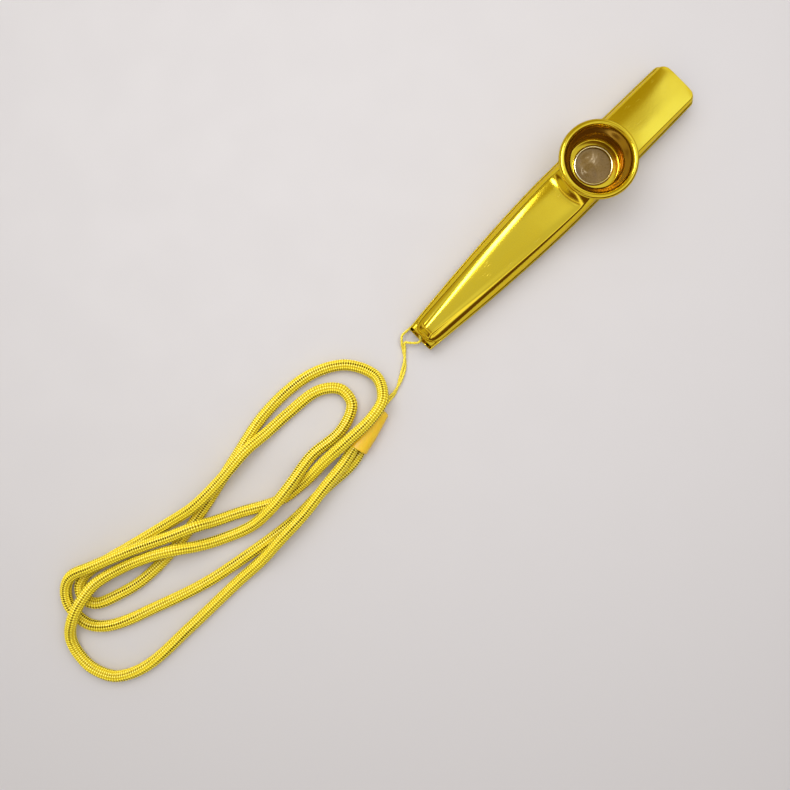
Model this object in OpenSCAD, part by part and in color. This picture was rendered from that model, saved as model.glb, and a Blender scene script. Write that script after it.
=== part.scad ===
// Kazoo of stamped sheet metal with a screw-in cup, and its neck lanyard.
// The origin lies under the middle of the body, on the surface it rests on. +X points to the mouth end.

/* [Body] */
// Length of the body
body_len = 120; // [110:1:135]
// Width at the widest place
body_w = 18.7; // [18:0.1:19.5]
// Width at the narrow end
end_w = 10.1; // [9.5:0.1:11.5]
// Width at the mouth end
mouth_w = 17.1; // [15.5:0.1:18]
// Distance of the widest place from the narrow end
widest_at = 65; // [55:1:75]
// Height of the flat panel that carries the cup
panel_h = 12.5; // [12:0.1:13.5]
// Height of the upper shell behind its nose at the narrow end
end_h = 8.9; // [8.4:0.1:9.8]
// Height of the upper shell at the mouth end
mouth_h = 9.5; // [8.8:0.1:10.5]
// Height of the seam between the shells
seam_h = 6.2; // [5.8:0.1:6.8]
// Thickness of the sheet
sheet = 0.5; // [0.4:0.05:0.6]
// Width of each rounded shoulder at the narrow end
shoulder_end_w = 3.6; // [3:0.1:3.9]
// Width of each rounded shoulder at the mouth end
shoulder_mouth_w = 1.5; // [1.4:0.1:2.2]
// Depth by which the lower shell's rim laps the upper shell
lap_depth = 1.8; // [1.2:0.1:2.2]
// Radius of the mouth end's corners, seen from above
corner_r = 2.3; // [1.5:0.1:3.5]
// Rise of the underside at the narrow end
end_rise = 1.2; // [0.6:0.1:1.6]
// Rise of the underside at the mouth end
mouth_rise = 2; // [1:0.1:2.4]

/* [Cup] */
// Distance of the cup's axis from the narrow end
cup_at = 79; // [74:1:84]
// Height of the cup, from its floor's underside to the top of its lip
cup_h = 9.45; // [9:0.05:11]
// Outer diameter of the rolled lip
lip_d = 25.4; // [24:0.1:27]
// Thickness of the rolled lip
lip_t = 2.1; // [1.6:0.1:2.6]
// Inner diameter of the threaded skirt
skirt_d = 16.9; // [16.5:0.1:17.2]
// Height of the threaded skirt
skirt_h = 5.85; // [5.7:0.05:6.3]
// Thickness of the cup's wall
cup_wall = 0.35; // [0.3:0.05:0.5]
// Thickness of the cup's floor
floor_t = 0.45; // [0.35:0.05:0.6]
// Diameter of the hole in the cup's floor
hole_d = 11.5; // [10:0.1:12.5]
// Width of the bead round the hole
bead_w = 0.65; // [0.5:0.05:0.9]
// Height of the bead above the cup's floor
bead_h = 0.5; // [0.3:0.05:0.7]

/* [Socket and membrane] */
// Height of the shell's boss above the panel
boss_h = 4.5; // [4.2:0.1:5]
// Thickness of the boss's wall
boss_wall = 0.4; // [0.3:0.05:0.6]
// Width of the flared foot round the boss
flare_w = 4.6; // [3.5:0.1:5]
// Thickness of the threaded socket's wall and of its seat
socket_wall = 0.35; // [0.3:0.05:0.5]
// Depth of the seat below the panel's top
seat_depth = 1.6; // [1.4:0.1:2]
// Diameter of the hole in the seat
seat_hole_d = 12.8; // [11:0.1:13.5]
// Pitch of the thread
thread_pitch = 2.4; // [2:0.1:2.6]
// Height of the thread's ridges
thread_h = 0.2; // [0.15:0.01:0.22]
// Turns of thread in engagement
thread_turns = 1.75; // [1:0.25:1.75]
// Thickness of the membrane's ring
ring_t = 0.5; // [0.4:0.05:0.52]
// Width of the membrane's ring
ring_w = 1.9; // [1:0.1:2.2]
// Thickness of the membrane
film_t = 0.08; // [0.05:0.01:0.1]

/* [Lanyard] */
// Diameter of the braided cord
cord_d = 4; // [3:0.1:4]
// Diameter of the string
string_d = 0.9; // [0.6:0.1:0.9]
// Diameter of the string's hole
string_hole_d = 2.2; // [1.6:0.1:2.4]
// Distance of the string's hole from the narrow end
string_hole_at = 2.5; // [2.2:0.1:3]
// Length of the sleeve
sleeve_len = 15.4; // [14:0.1:15.4]
// Width of the sleeve where the cord enters
sleeve_w = 7; // [6.6:0.1:7.4]
// Height of the sleeve where the cord enters
sleeve_h = 7; // [6.6:0.1:7.2]
// Width of the sleeve where the string enters
sleeve_tip_w = 6; // [4:0.1:6.4]
// Height of the sleeve where the string enters
sleeve_tip_h = 5.4; // [4:0.1:5.6]

/* [Hidden] */
$fn = 96;

// Clearances, and the overrun of every cut
lap_gap = 0.05;
thread_gap = 0.1;
press_gap = 0.02;
seat_gap = 0.02;
clamp_gap = 0.05;
overrun = 1;

// How the outline and the heights ease away from their greatest value: powers of the distance from it
outline_power = 1.6;
shoulder_power = 1.2;
end_fall_power = 1.7;
mouth_fall_power = 1.8;
keel_power = 2;

// Body, worked out from its named sizes
half_len = body_len / 2;
lap_step = sheet + lap_gap;
rim_drop = lap_depth + lap_step - sheet;
flat_half = 15;
flat_from = cup_at - flat_half;
flat_to = cup_at + flat_half;
keel_from = 45;
keel_to = 85;
keel_share = 0.38;
mouth_keel_share = 0.2;

// The upper shell's strip and nose at the narrow end
strip_start = 0.8;
strip_w = 1.1;
strip_rise = 0.7;
strip_shoulder_w = 1.2;
nose_len = 3;

// Cup, socket and boss, from the inside out
cup_r = skirt_d / 2;
cup_out_r = cup_r + cup_wall;
bore_r = cup_out_r + thread_h + thread_gap;
socket_r = bore_r + socket_wall;
boss_bore_r = socket_r + press_gap;
boss_r = boss_bore_r + boss_wall;
foot_r = boss_r + flare_w;
boss_top = panel_h + boss_h;
seat_z = panel_h - seat_depth;
socket_z = seat_z - sheet;
boss_z = socket_z - clamp_gap;
socket_top = boss_top + socket_wall;
ring_z = seat_z + seat_gap;
film_z = ring_z + ring_t;
cup_z = film_z + film_t + clamp_gap;
cup_floor_z = cup_z + floor_t;
ring_r = bore_r - thread_h - thread_gap - 2 * clamp_gap;
film_r = ring_r - ring_w / 4;
cup_x = cup_at - half_len;
lip_r = lip_t / 2;
lip_mid_r = lip_d / 2 - lip_r;
lip_z = cup_z + cup_h - lip_r;
flare_z = cup_z + skirt_h;

// Thread: ridges whose foot lies in the wall and whose crest clears the other wall, half a turn apart
thread_foot_w = thread_pitch * 0.46;
thread_crest_w = thread_pitch * 0.2;
thread_step = 12;
thread_embed = 0.1;
thread_z = cup_z + floor_t + thread_foot_w / 2;

// Steps of the faceted shells
shoulder_steps = 6;
panel_steps = 8;
nose_steps = 5;
flare_steps = 20;
corner_steps = 5;

function mix(a, b, t) = a + (b - a) * t;
function clamp01(t) = min(1, max(0, t));
function arc_rise(t) = sqrt(1 - pow(1 - t, 2));

// Body curves, each at the distance s from the narrow end
function corner_cut(s) =
    let (d = s - (body_len - corner_r))
    d > 0 ? corner_r - sqrt(max(0, pow(corner_r, 2) - pow(d, 2))) : 0;
function plan_half(s) =
    let (far = s < widest_at ? widest_at : body_len - widest_at)
    let (end = s < widest_at ? end_w : mouth_w)
    mix(body_w, end, pow(abs(s - widest_at) / far, outline_power)) / 2;
function rim_half(s) = plan_half(s) - corner_cut(s);
function panel_z(s) =
    s < flat_from ? mix(panel_h, end_h, pow((flat_from - s) / flat_from, end_fall_power))
    : s > flat_to ? mix(panel_h, mouth_h, pow((s - flat_to) / (body_len - flat_to), mouth_fall_power))
    : panel_h;
function nose_share(s) = arc_rise(clamp01((s - strip_start - strip_w) / nose_len));
function top_z(s) = mix(seam_h + strip_rise, panel_z(s), nose_share(s));
function shoulder_w(s) =
    mix(strip_shoulder_w, mix(shoulder_end_w, shoulder_mouth_w, pow(s / body_len, shoulder_power)), nose_share(s));
function panel_half(s) = rim_half(s) - shoulder_w(s);
function keel_z(s) =
    s < keel_from ? end_rise * pow((keel_from - s) / keel_from, keel_power)
    : s > keel_to ? mouth_rise * pow((s - keel_to) / (body_len - keel_to), keel_power)
    : 0;
function keel_half(s) = rim_half(s) * (keel_share + mouth_keel_share * pow(s / body_len, 4));

// Height that the flared foot adds to the panel at the distance r from the cup's axis
function flare_rise(r) =
    r >= foot_r ? 0
    : boss_h * (1 - sqrt(1 - pow((foot_r - max(r, boss_r)) / flare_w, 2)));

// Half of an upper section, from the skirt's edge over the shoulder to the panel's middle line
function upper_half(s, side, wall) =
    let (w = rim_half(s) - lap_step - wall)
    let (p = panel_half(s))
    let (z = top_z(s) - wall)
    concat(
        [[side * w, seam_h - lap_depth]],
        [for (k = [0:shoulder_steps])
            let (a = 90 * k / shoulder_steps)
            [side * (p + (w - p) * cos(a)), mix(seam_h, z, sin(a))]]
    );
function flipped(list) = [for (i = [len(list) - 1:-1:0]) list[i]];
function upper_section(s, wall) =
    concat(
        upper_half(s, -1, wall),
        [for (k = [1:panel_steps - 1]) [panel_half(s) * (2 * k / panel_steps - 1), top_z(s) - wall]],
        flipped(upper_half(s, 1, wall))
    );
function upper_outer(s) =
    [for (p = upper_section(s, 0))
        let (up = clamp01((p[1] - seam_h) / (top_z(s) - seam_h)))
        [s - half_len, p[0], p[1] + flare_rise(norm([s - cup_at, p[0]])) * up]];
function upper_inner(s) = [for (p = upper_section(s, sheet)) [s - half_len, p[0], p[1]]];

// A lower section, from the +Y rim under the keel to the -Y rim
function lower_half(s, side, wall) =
    let (w = rim_half(s) - wall)
    let (k = keel_half(s))
    let (drop = seam_h - rim_drop)
    let (z = keel_z(s) + wall)
    concat(
        [[side * w, seam_h]],
        [for (i = [0:shoulder_steps])
            let (a = 90 * i / shoulder_steps)
            [side * (k + (w - k) * cos(a)), mix(drop, z, sin(a))]]
    );
function lower_section(s, wall) =
    [for (p = concat(lower_half(s, 1, wall), flipped(lower_half(s, -1, wall)))) [s - half_len, p[0], p[1]]];

// Places of the sections along the body
function spread(a, b, n) = [for (i = [0:n - 1]) mix(a, b, i / n)];
nose_from = strip_start + strip_w;
corner_places = [for (k = [0:corner_steps]) body_len - corner_r + corner_r * sin(90 * k / corner_steps)];
upper_places = concat(
    [strip_start],
    [for (k = [0:nose_steps]) nose_from + nose_len * (1 - cos(90 * k / nose_steps))],
    [for (s = spread(nose_from + nose_len, flat_from, 9)) if (s > nose_from + nose_len) s],
    spread(flat_from, flat_to, flare_steps),
    spread(flat_to, body_len - corner_r, 5),
    corner_places
);
lower_places = concat(
    spread(0, keel_from, 9),
    spread(keel_from, keel_to, 6),
    spread(keel_to, body_len - corner_r, 7),
    corner_places
);

// The cord's route, in millimetres, from the sleeve through both hairpins and back to the sleeve
cord_route = [
    [-100.2, -12.5, 2], [-106.5, -13.5, 2], [-117, -13, 2], [-134, -13, 2], [-151.5, -10.5, 2],
    [-168.5, -7, 2], [-186, -1, 2], [-199.5, 4.5, 2], [-205.5, 10.5, 2], [-206, 19, 2], [-203, 24, 2.6],
    [-197.5, 26, 4.8], [-190.5, 23.5, 6.2], [-176, 17.5, 6.2], [-164.5, 12, 6.1], [-156.5, 8.5, 6],
    [-151.5, 5.5, 3.4], [-143.5, 1.5, 2], [-131, -5, 2], [-121, -6.5, 2.2], [-110.5, -6.5, 5.2],
    [-100.5, -7, 7.9], [-89.5, -7.2, 8.2], [-82.5, -5.2, 6.6], [-79, 2, 2.8], [-84, 12, 2], [-96, 18, 2],
    [-114, 19, 2], [-131.5, 15.5, 2], [-151.5, 11, 2], [-167.5, 8.5, 2], [-182.5, 8.5, 2], [-194, 11.5, 2],
    [-199, 14, 2], [-200.7, 18, 2], [-198.5, 22, 2], [-194, 23.3, 2], [-187.5, 22, 2], [-176, 19, 2],
    [-161.5, 15.5, 2.8], [-151.5, 13.5, 5.8], [-140, 13.5, 6.3], [-127, 14.5, 6], [-118.5, 14, 3.2],
    [-108, 13.5, 2], [-96.5, 12, 2], [-90.5, 7, 2], [-91.5, 0.5, 2], [-100.5, -3, 2], [-113, -2, 2.8],
    [-125, -4, 5.9], [-134, -5, 6.1], [-143.5, -4.5, 3], [-154, -0.5, 2], [-161, 3.5, 4], [-167, 8, 6.3],
    [-174, 12, 5.6], [-183.5, 16, 4.6], [-193.5, 18.5, 5.2], [-201, 17.5, 6.4], [-206.5, 15.5, 6.3],
    [-212.5, 12, 3], [-215, 6.5, 2], [-215, -1, 2], [-211, -8.5, 2], [-201, -13, 2], [-182.5, -14, 2],
    [-160.5, -14.5, 2], [-149, -15, 3.6], [-140, -14.5, 5.8], [-128, -14, 6.2], [-116.5, -12.5, 6.2],
    [-107.5, -11.5, 5.5], [-100.8, -10, 5]
];

// The string's route, from the sleeve through its hole, out of the narrow end and back to the sleeve
string_route = [
    [-85.4, -7.1, 2.7], [-82, -6.4, 1.5], [-78.3, -6.1, 0.6], [-72.8, -3.8, 0.5], [-69.2, -1.5, 0.5],
    [-66.4, 1.7, 0.9], [-64.5, 4.4, 2.1], [-63.2, 5.1, 2.4], [-61.2, 5.1, 1.6], [-59.4, 5, 1.1],
    [-58, 4.9, 1.4], [-57.5, 4.2, 2.1], [-57.7, 3, 3.1], [-58.8, 1, 3.3], [-60.3, -0.6, 2.7],
    [-61.8, 0.2, 2.3], [-63.5, 2.1, 2.3], [-64.6, 2.3, 1.8], [-65.5, 1.3, 1], [-68.5, -2.2, 0.5],
    [-72.3, -4.7, 0.5], [-78.1, -7.1, 0.6], [-82.2, -7.4, 1.5], [-85.6, -8.1, 2.7]
];

// Where the cord enters the sleeve, and the sleeve's direction from there
sleeve_at = [-100.5, -11.25];
sleeve_turn = 13.7;
sleeve_round = 0.7;
tube_sides = 8;
cord_ring_step = 13;
string_ring_step = 3.4;
bend_step = 40;
loft_sides = 20;

// A tube through the points of a route: one smooth curve, with more rings where it bends
function way(p, i) =
    let (a = p[max(i - 1, 0)], b = p[i], c = p[min(i + 1, len(p) - 1)])
    (c - a) / (norm(b - a) + norm(c - b));
function along(p, i, t) =
    let (reach = norm(p[i + 1] - p[i]))
    p[i] * (2 * pow(t, 3) - 3 * pow(t, 2) + 1) + way(p, i) * reach * (pow(t, 3) - 2 * pow(t, 2) + t)
    + p[i + 1] * (3 * pow(t, 2) - 2 * pow(t, 3)) + way(p, i + 1) * reach * (pow(t, 3) - pow(t, 2));
function heading(p, i, t) =
    let (reach = norm(p[i + 1] - p[i]))
    let (d = p[i] * (6 * pow(t, 2) - 6 * t) + way(p, i) * reach * (3 * pow(t, 2) - 4 * t + 1)
        + p[i + 1] * (6 * t - 6 * pow(t, 2)) + way(p, i + 1) * reach * (3 * pow(t, 2) - 2 * t))
    d / norm(d);
function turn_between(a, b) = acos(clamp01(a * b / (norm(a) * norm(b))));
function rings_in(p, i, step) =
    max(1, ceil(norm(p[i + 1] - p[i]) / step - 1 / 2), ceil(turn_between(way(p, i), way(p, i + 1)) / bend_step));
function ring_places(p, step) =
    concat(
        [for (i = [0:len(p) - 2]) let (n = rings_in(p, i, step)) for (k = [0:n - 1]) [i, k / n]],
        [[len(p) - 2, 1]]
    );
function ring_round(centre, dir, r, sides) =
    let (across = cross(dir, [0, 0, 1]))
    let (side = across / norm(across))
    let (up = cross(side, dir))
    [for (k = [0:sides - 1]) centre + side * (r * cos(360 * k / sides)) + up * (r * sin(360 * k / sides))];
function tube_rings(p, r, step, sides) =
    [for (q = ring_places(p, step)) ring_round(along(p, q[0], q[1]), heading(p, q[0], q[1]), r, sides)];

// Two triangles for a four-cornered face, and the faces of a closed skin over rings
function quad(a, b, c, d) = [[a, b, c], [a, c, d]];
function skin_faces(m, n) =
    concat(
        [for (i = [0:m - 2]) for (j = [0:n - 1])
            for (t = quad(i * n + j, i * n + (j + 1) % n, (i + 1) * n + (j + 1) % n, (i + 1) * n + j)) t],
        [[for (j = [n - 1:-1:0]) j]],
        [[for (j = [0:n - 1]) (m - 1) * n + j]]
    );
module skin(rings) {
    polyhedron(points = [for (r = rings) for (p = r) p], faces = skin_faces(len(rings), len(rings[0])));
}

// A trough of sheet, from its outer and its inner sections
module trough(outer, inner) {
    m = len(outer);
    n = len(outer[0]);
    in = m * n;
    polyhedron(
        points = concat([for (r = outer) for (p = r) p], [for (r = inner) for (p = r) p]),
        faces = concat(
            [for (i = [0:m - 2]) for (j = [0:n - 2])
                for (t = quad(i * n + j, i * n + j + 1, (i + 1) * n + j + 1, (i + 1) * n + j)) t],
            [for (i = [0:m - 2]) for (j = [0:n - 2])
                for (t = quad(in + i * n + j, in + (i + 1) * n + j, in + (i + 1) * n + j + 1, in + i * n + j + 1)) t],
            [for (i = [0:m - 2]) for (t = quad(i * n, (i + 1) * n, in + (i + 1) * n, in + i * n)) t],
            [for (i = [0:m - 2])
                for (t = quad((i + 2) * n - 1, (i + 1) * n - 1, in + (i + 1) * n - 1, in + (i + 2) * n - 1)) t],
            [for (j = [0:n - 2]) for (t = quad(j + 1, j, in + j, in + j + 1)) t],
            [for (j = [0:n - 2])
                for (t = quad((m - 1) * n + j, (m - 1) * n + j + 1, in + (m - 1) * n + j + 1, in + (m - 1) * n + j)) t]
        )
    );
}

// A helical ridge that rises anticlockwise, faded out at both ends
module ridge(foot_at, crest_at, z) {
    n = thread_turns * 360 / thread_step;
    skin([for (i = [0:n])
        let (a = i * thread_step)
        let (up = z + thread_pitch * a / 360)
        let (crest = mix(foot_at, crest_at, min(1, (i + 1) / 3, (n - i + 1) / 3)))
        let (out = crest_at > foot_at ? 1 : -1)
        [for (q = [[foot_at, -thread_foot_w / 2], [crest, -thread_crest_w / 2],
                   [crest, thread_crest_w / 2], [foot_at, thread_foot_w / 2]])
            [q[0] * cos(a), q[0] * sin(a), up + out * q[1]]]]);
}

module lower_shell() {
    hole_s = string_hole_at;
    hole_w = rim_half(hole_s);
    hole_k = keel_half(hole_s);
    color("goldenrod")
    difference() {
        trough([for (s = lower_places) lower_section(s, 0)], [for (s = lower_places) lower_section(s, sheet)]);
        translate([hole_s - half_len, hole_k + (hole_w - hole_k) * cos(45),
                   mix(seam_h - rim_drop, keel_z(hole_s), sin(45))])
            rotate([45, 0, 0])
                cylinder(h = 2 * (sheet + overrun), d = string_hole_d, center = true);
    }
}

// Part of a disc that lies beyond the shoulder, on both sides, under the boss
module boss_cheeks() {
    cheek_z = seam_h + lap_gap;
    reach = rim_half(cup_at) - lap_step - sheet * 0.9;
    intersection() {
        translate([0, 0, cheek_z])
            cylinder(h = boss_z - cheek_z + clamp_gap, r = boss_r);
        union() {
            for (side = [-1, 1])
                translate([-boss_r, side > 0 ? reach : -reach - boss_r, cheek_z])
                    cube([2 * boss_r, boss_r, boss_z - cheek_z + clamp_gap]);
        }
    }
}

module upper_shell() {
    color("gold")
    difference() {
        union() {
            trough([for (s = upper_places) upper_outer(s)], [for (s = upper_places) upper_inner(s)]);
            translate([cup_x, 0, 0]) {
                translate([0, 0, boss_z])
                    cylinder(h = boss_top - boss_z, r = boss_r);
                boss_cheeks();
            }
        }
        translate([cup_x, 0, boss_z - overrun])
            cylinder(h = boss_top - boss_z + 2 * overrun, r = boss_bore_r);
    }
}

module threaded_socket() {
    color("darkgoldenrod")
    translate([cup_x, 0, 0])
    union() {
        difference() {
            translate([0, 0, socket_z])
                cylinder(h = socket_top - socket_z, r = socket_r);
            translate([0, 0, seat_z])
                cylinder(h = socket_top - seat_z + overrun, r = bore_r);
            translate([0, 0, socket_z - overrun])
                cylinder(h = seat_z - socket_z + 2 * overrun, d = seat_hole_d);
        }
        rotate([0, 0, 180])
            ridge(bore_r + thread_embed, bore_r - thread_h, thread_z);
    }
}

module membrane_ring() {
    color("peru")
    translate([cup_x, 0, ring_z])
    difference() {
        cylinder(h = ring_t, r = ring_r);
        translate([0, 0, -overrun])
            cylinder(h = ring_t + 2 * overrun, r = ring_r - ring_w);
    }
}

module membrane() {
    color("tan")
    translate([cup_x, 0, film_z])
        cylinder(h = film_t, r = film_r);
}

// The cup's wall above its skirt: an easing curve from the skirt to the lip's inner side
flare_points = 8;
function cup_flare(offset) =
    [for (k = [0:flare_points])
        let (t = k / flare_points)
        [mix(cup_r, lip_mid_r - lip_r, pow(t, 2) * (3 - 2 * t)) + offset, mix(flare_z, lip_z, t)]];

module cup() {
    color("gold")
    translate([cup_x, 0, 0])
    union() {
        rotate_extrude()
            polygon(concat(
                [[hole_d / 2, cup_z], [cup_out_r - cup_wall, cup_z], [cup_out_r, cup_z + cup_wall]],
                cup_flare(cup_wall),
                flipped(cup_flare(0)),
                [[cup_r, cup_floor_z], [hole_d / 2 + bead_w, cup_floor_z],
                 [hole_d / 2 + bead_w * 3 / 4, cup_floor_z + bead_h],
                 [hole_d / 2 + bead_w / 4, cup_floor_z + bead_h], [hole_d / 2, cup_floor_z + bead_h / 2]]
            ));
        translate([0, 0, lip_z])
            rotate_extrude()
                translate([lip_mid_r, 0])
                    circle(r = lip_r, $fn = 24);
        ridge(cup_out_r - thread_embed, cup_out_r + thread_h, thread_z);
    }
}

module string_loop() {
    color("yellow")
    skin(tube_rings(string_route, string_d / 2, string_ring_step, tube_sides));
}

// The sleeve: a tapering oval with rounded ends, lying on the surface
module sleeve() {
    ends = [[0, sleeve_round], [sleeve_round / 3, 0], [sleeve_len - sleeve_round / 3, 0], [sleeve_len, sleeve_round]];
    color("orange")
    translate([sleeve_at[0], sleeve_at[1], 0])
        rotate([0, 0, sleeve_turn])
            skin([for (e = ends)
                let (t = e[0] / sleeve_len)
                let (w = mix(sleeve_w, sleeve_tip_w, t) / 2)
                let (h = mix(sleeve_h, sleeve_tip_h, t) / 2)
                [for (k = [0:loft_sides - 1])
                    let (a = 360 * k / loft_sides)
                    [e[0], -(w - e[1] / 2) * cos(a), h + (h - e[1] / 2) * sin(a)]]]);
}

module neck_cord() {
    color("yellow")
    skin(tube_rings(cord_route, cord_d / 2, cord_ring_step, tube_sides));
}

lower_shell();
upper_shell();
threaded_socket();
membrane_ring();
membrane();
cup();
string_loop();
sleeve();
neck_cord();
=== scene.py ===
"""Looks of a gold kazoo of stamped sheet metal and its braided lanyard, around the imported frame.

Sizes are in metres. X runs along the kazoo to its mouth end, +Z is up, and the floor is at z = 0.
"""

import math

import bmesh
import bpy
from mathutils import Matrix, Vector, noise


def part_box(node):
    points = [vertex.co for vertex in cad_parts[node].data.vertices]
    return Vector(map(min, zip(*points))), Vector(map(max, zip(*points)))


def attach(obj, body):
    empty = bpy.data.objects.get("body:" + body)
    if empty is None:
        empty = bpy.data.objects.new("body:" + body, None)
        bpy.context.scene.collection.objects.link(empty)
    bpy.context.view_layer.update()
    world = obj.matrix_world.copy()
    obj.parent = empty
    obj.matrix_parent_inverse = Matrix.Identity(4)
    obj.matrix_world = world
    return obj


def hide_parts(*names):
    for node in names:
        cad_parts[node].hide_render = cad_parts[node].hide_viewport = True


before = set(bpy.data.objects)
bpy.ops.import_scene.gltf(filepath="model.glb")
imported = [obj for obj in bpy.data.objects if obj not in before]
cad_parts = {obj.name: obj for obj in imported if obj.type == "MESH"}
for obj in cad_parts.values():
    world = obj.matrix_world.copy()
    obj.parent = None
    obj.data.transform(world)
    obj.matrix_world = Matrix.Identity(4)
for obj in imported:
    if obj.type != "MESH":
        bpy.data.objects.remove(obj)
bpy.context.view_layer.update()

MM = 0.001
FULL_TURN = 2 * math.pi

# Camera: straight down over the middle of the 790 pixel photograph
IMAGE_SIDE = 790
FOCAL_PIXELS = 908
SENSOR_WIDTH = 36
CAMERA_AT = Vector((-78.9, -7.3, 306)) * MM
CAMERA_UP = Vector((0.7059, 0.7083, 0))

# Body
BODY_LEN = 120 * MM
BODY_W = 18.7 * MM
END_W = 10.1 * MM
MOUTH_W = 17.1 * MM
WIDEST_AT = 65 * MM
PANEL_H = 12.5 * MM
END_H = 8.9 * MM
MOUTH_H = 9.5 * MM
SEAM_H = 6.2 * MM
SHEET = 0.5 * MM
SHOULDER_END_W = 3.6 * MM
SHOULDER_MOUTH_W = 1.5 * MM
LAP_DEPTH = 1.8 * MM
LAP_GAP = 0.05 * MM
CORNER_R = 2.3 * MM
END_RISE = 1.2 * MM
MOUTH_RISE = 2 * MM
KEEL_FROM = 45 * MM
KEEL_TO = 85 * MM
KEEL_SHARE = 0.38
MOUTH_KEEL_SHARE = 0.2
FLAT_HALF = 15 * MM
OUTLINE_POWER = 1.6
SHOULDER_POWER = 1.2
END_FALL_POWER = 1.7
MOUTH_FALL_POWER = 1.8
KEEL_POWER = 2
KEEL_WIDENING_POWER = 4
STRIP_START = 0.8 * MM
STRIP_RISE = 0.7 * MM
STRIP_SHOULDER_W = 1.2 * MM
NOSE_LEN = 3 * MM
FOOT_R = 0.45 * MM
FOOT_SHARE = 0.2
EDGE = 0.12 * MM
STRING_HOLE_D = 2.2 * MM
STRING_HOLE_AT = 2.5 * MM

# Cup, socket and membrane
CUP_AT = 79 * MM
CUP_H = 9.45 * MM
LIP_D = 25.4 * MM
LIP_T = 2.1 * MM
SKIRT_D = 16.9 * MM
SKIRT_H = 5.85 * MM
CUP_WALL = 0.35 * MM
FLOOR_T = 0.45 * MM
HOLE_D = 11.5 * MM
BEAD_W = 0.65 * MM
BEAD_H = 0.5 * MM
BOSS_H = 4.5 * MM
BOSS_WALL = 0.4 * MM
FLARE_W = 4.6 * MM
SOCKET_WALL = 0.35 * MM
SEAT_DEPTH = 1.6 * MM
SEAT_HOLE_D = 12.8 * MM
THREAD_PITCH = 2.4 * MM
THREAD_H = 0.2 * MM
THREAD_GAP = 0.1 * MM
THREAD_START_SHARE = 0.23
PRESS_GAP = 0.02 * MM

# Lanyard
CORD_D = 4 * MM
STRING_D = 0.9 * MM
SLEEVE_AT = Vector((-100.5, -11.25, 0)) * MM
SLEEVE_TURN = math.radians(13.7)
SLEEVE_LEN = 15.4 * MM
SLEEVE_W = 7 * MM
SLEEVE_H = 7 * MM
SLEEVE_TIP_W = 6 * MM
SLEEVE_TIP_H = 5.4 * MM

HALF_LEN = BODY_LEN / 2
LAP_STEP = SHEET + LAP_GAP
FLAT_FROM = CUP_AT - FLAT_HALF
FLAT_TO = CUP_AT + FLAT_HALF
CUP_R = SKIRT_D / 2
CUP_OUT_R = CUP_R + CUP_WALL
BORE_R = CUP_OUT_R + THREAD_H + THREAD_GAP
SOCKET_R = BORE_R + SOCKET_WALL
BOSS_BORE_R = SOCKET_R + PRESS_GAP
BOSS_R = BOSS_BORE_R + BOSS_WALL
FLARE_R = BOSS_R + FLARE_W
BOSS_TOP = PANEL_H + BOSS_H
SEAT_Z = PANEL_H - SEAT_DEPTH
SOCKET_Z = SEAT_Z - SHEET
CUP_X = CUP_AT - HALF_LEN
FILM_LOW, FILM_HIGH = (corner.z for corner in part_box("membrane"))
CUP_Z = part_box("cup")[0].z
CUP_FLOOR_Z = CUP_Z + FLOOR_T
LIP_R = LIP_T / 2
LIP_MID_R = LIP_D / 2 - LIP_R
LIP_Z = CUP_Z + CUP_H - LIP_R
CUP_FLARE_Z = CUP_Z + SKIRT_H
SOCKET_TOP = BOSS_TOP + SOCKET_WALL
THREAD_Z = CUP_FLOOR_Z + THREAD_START_SHARE * THREAD_PITCH

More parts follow.
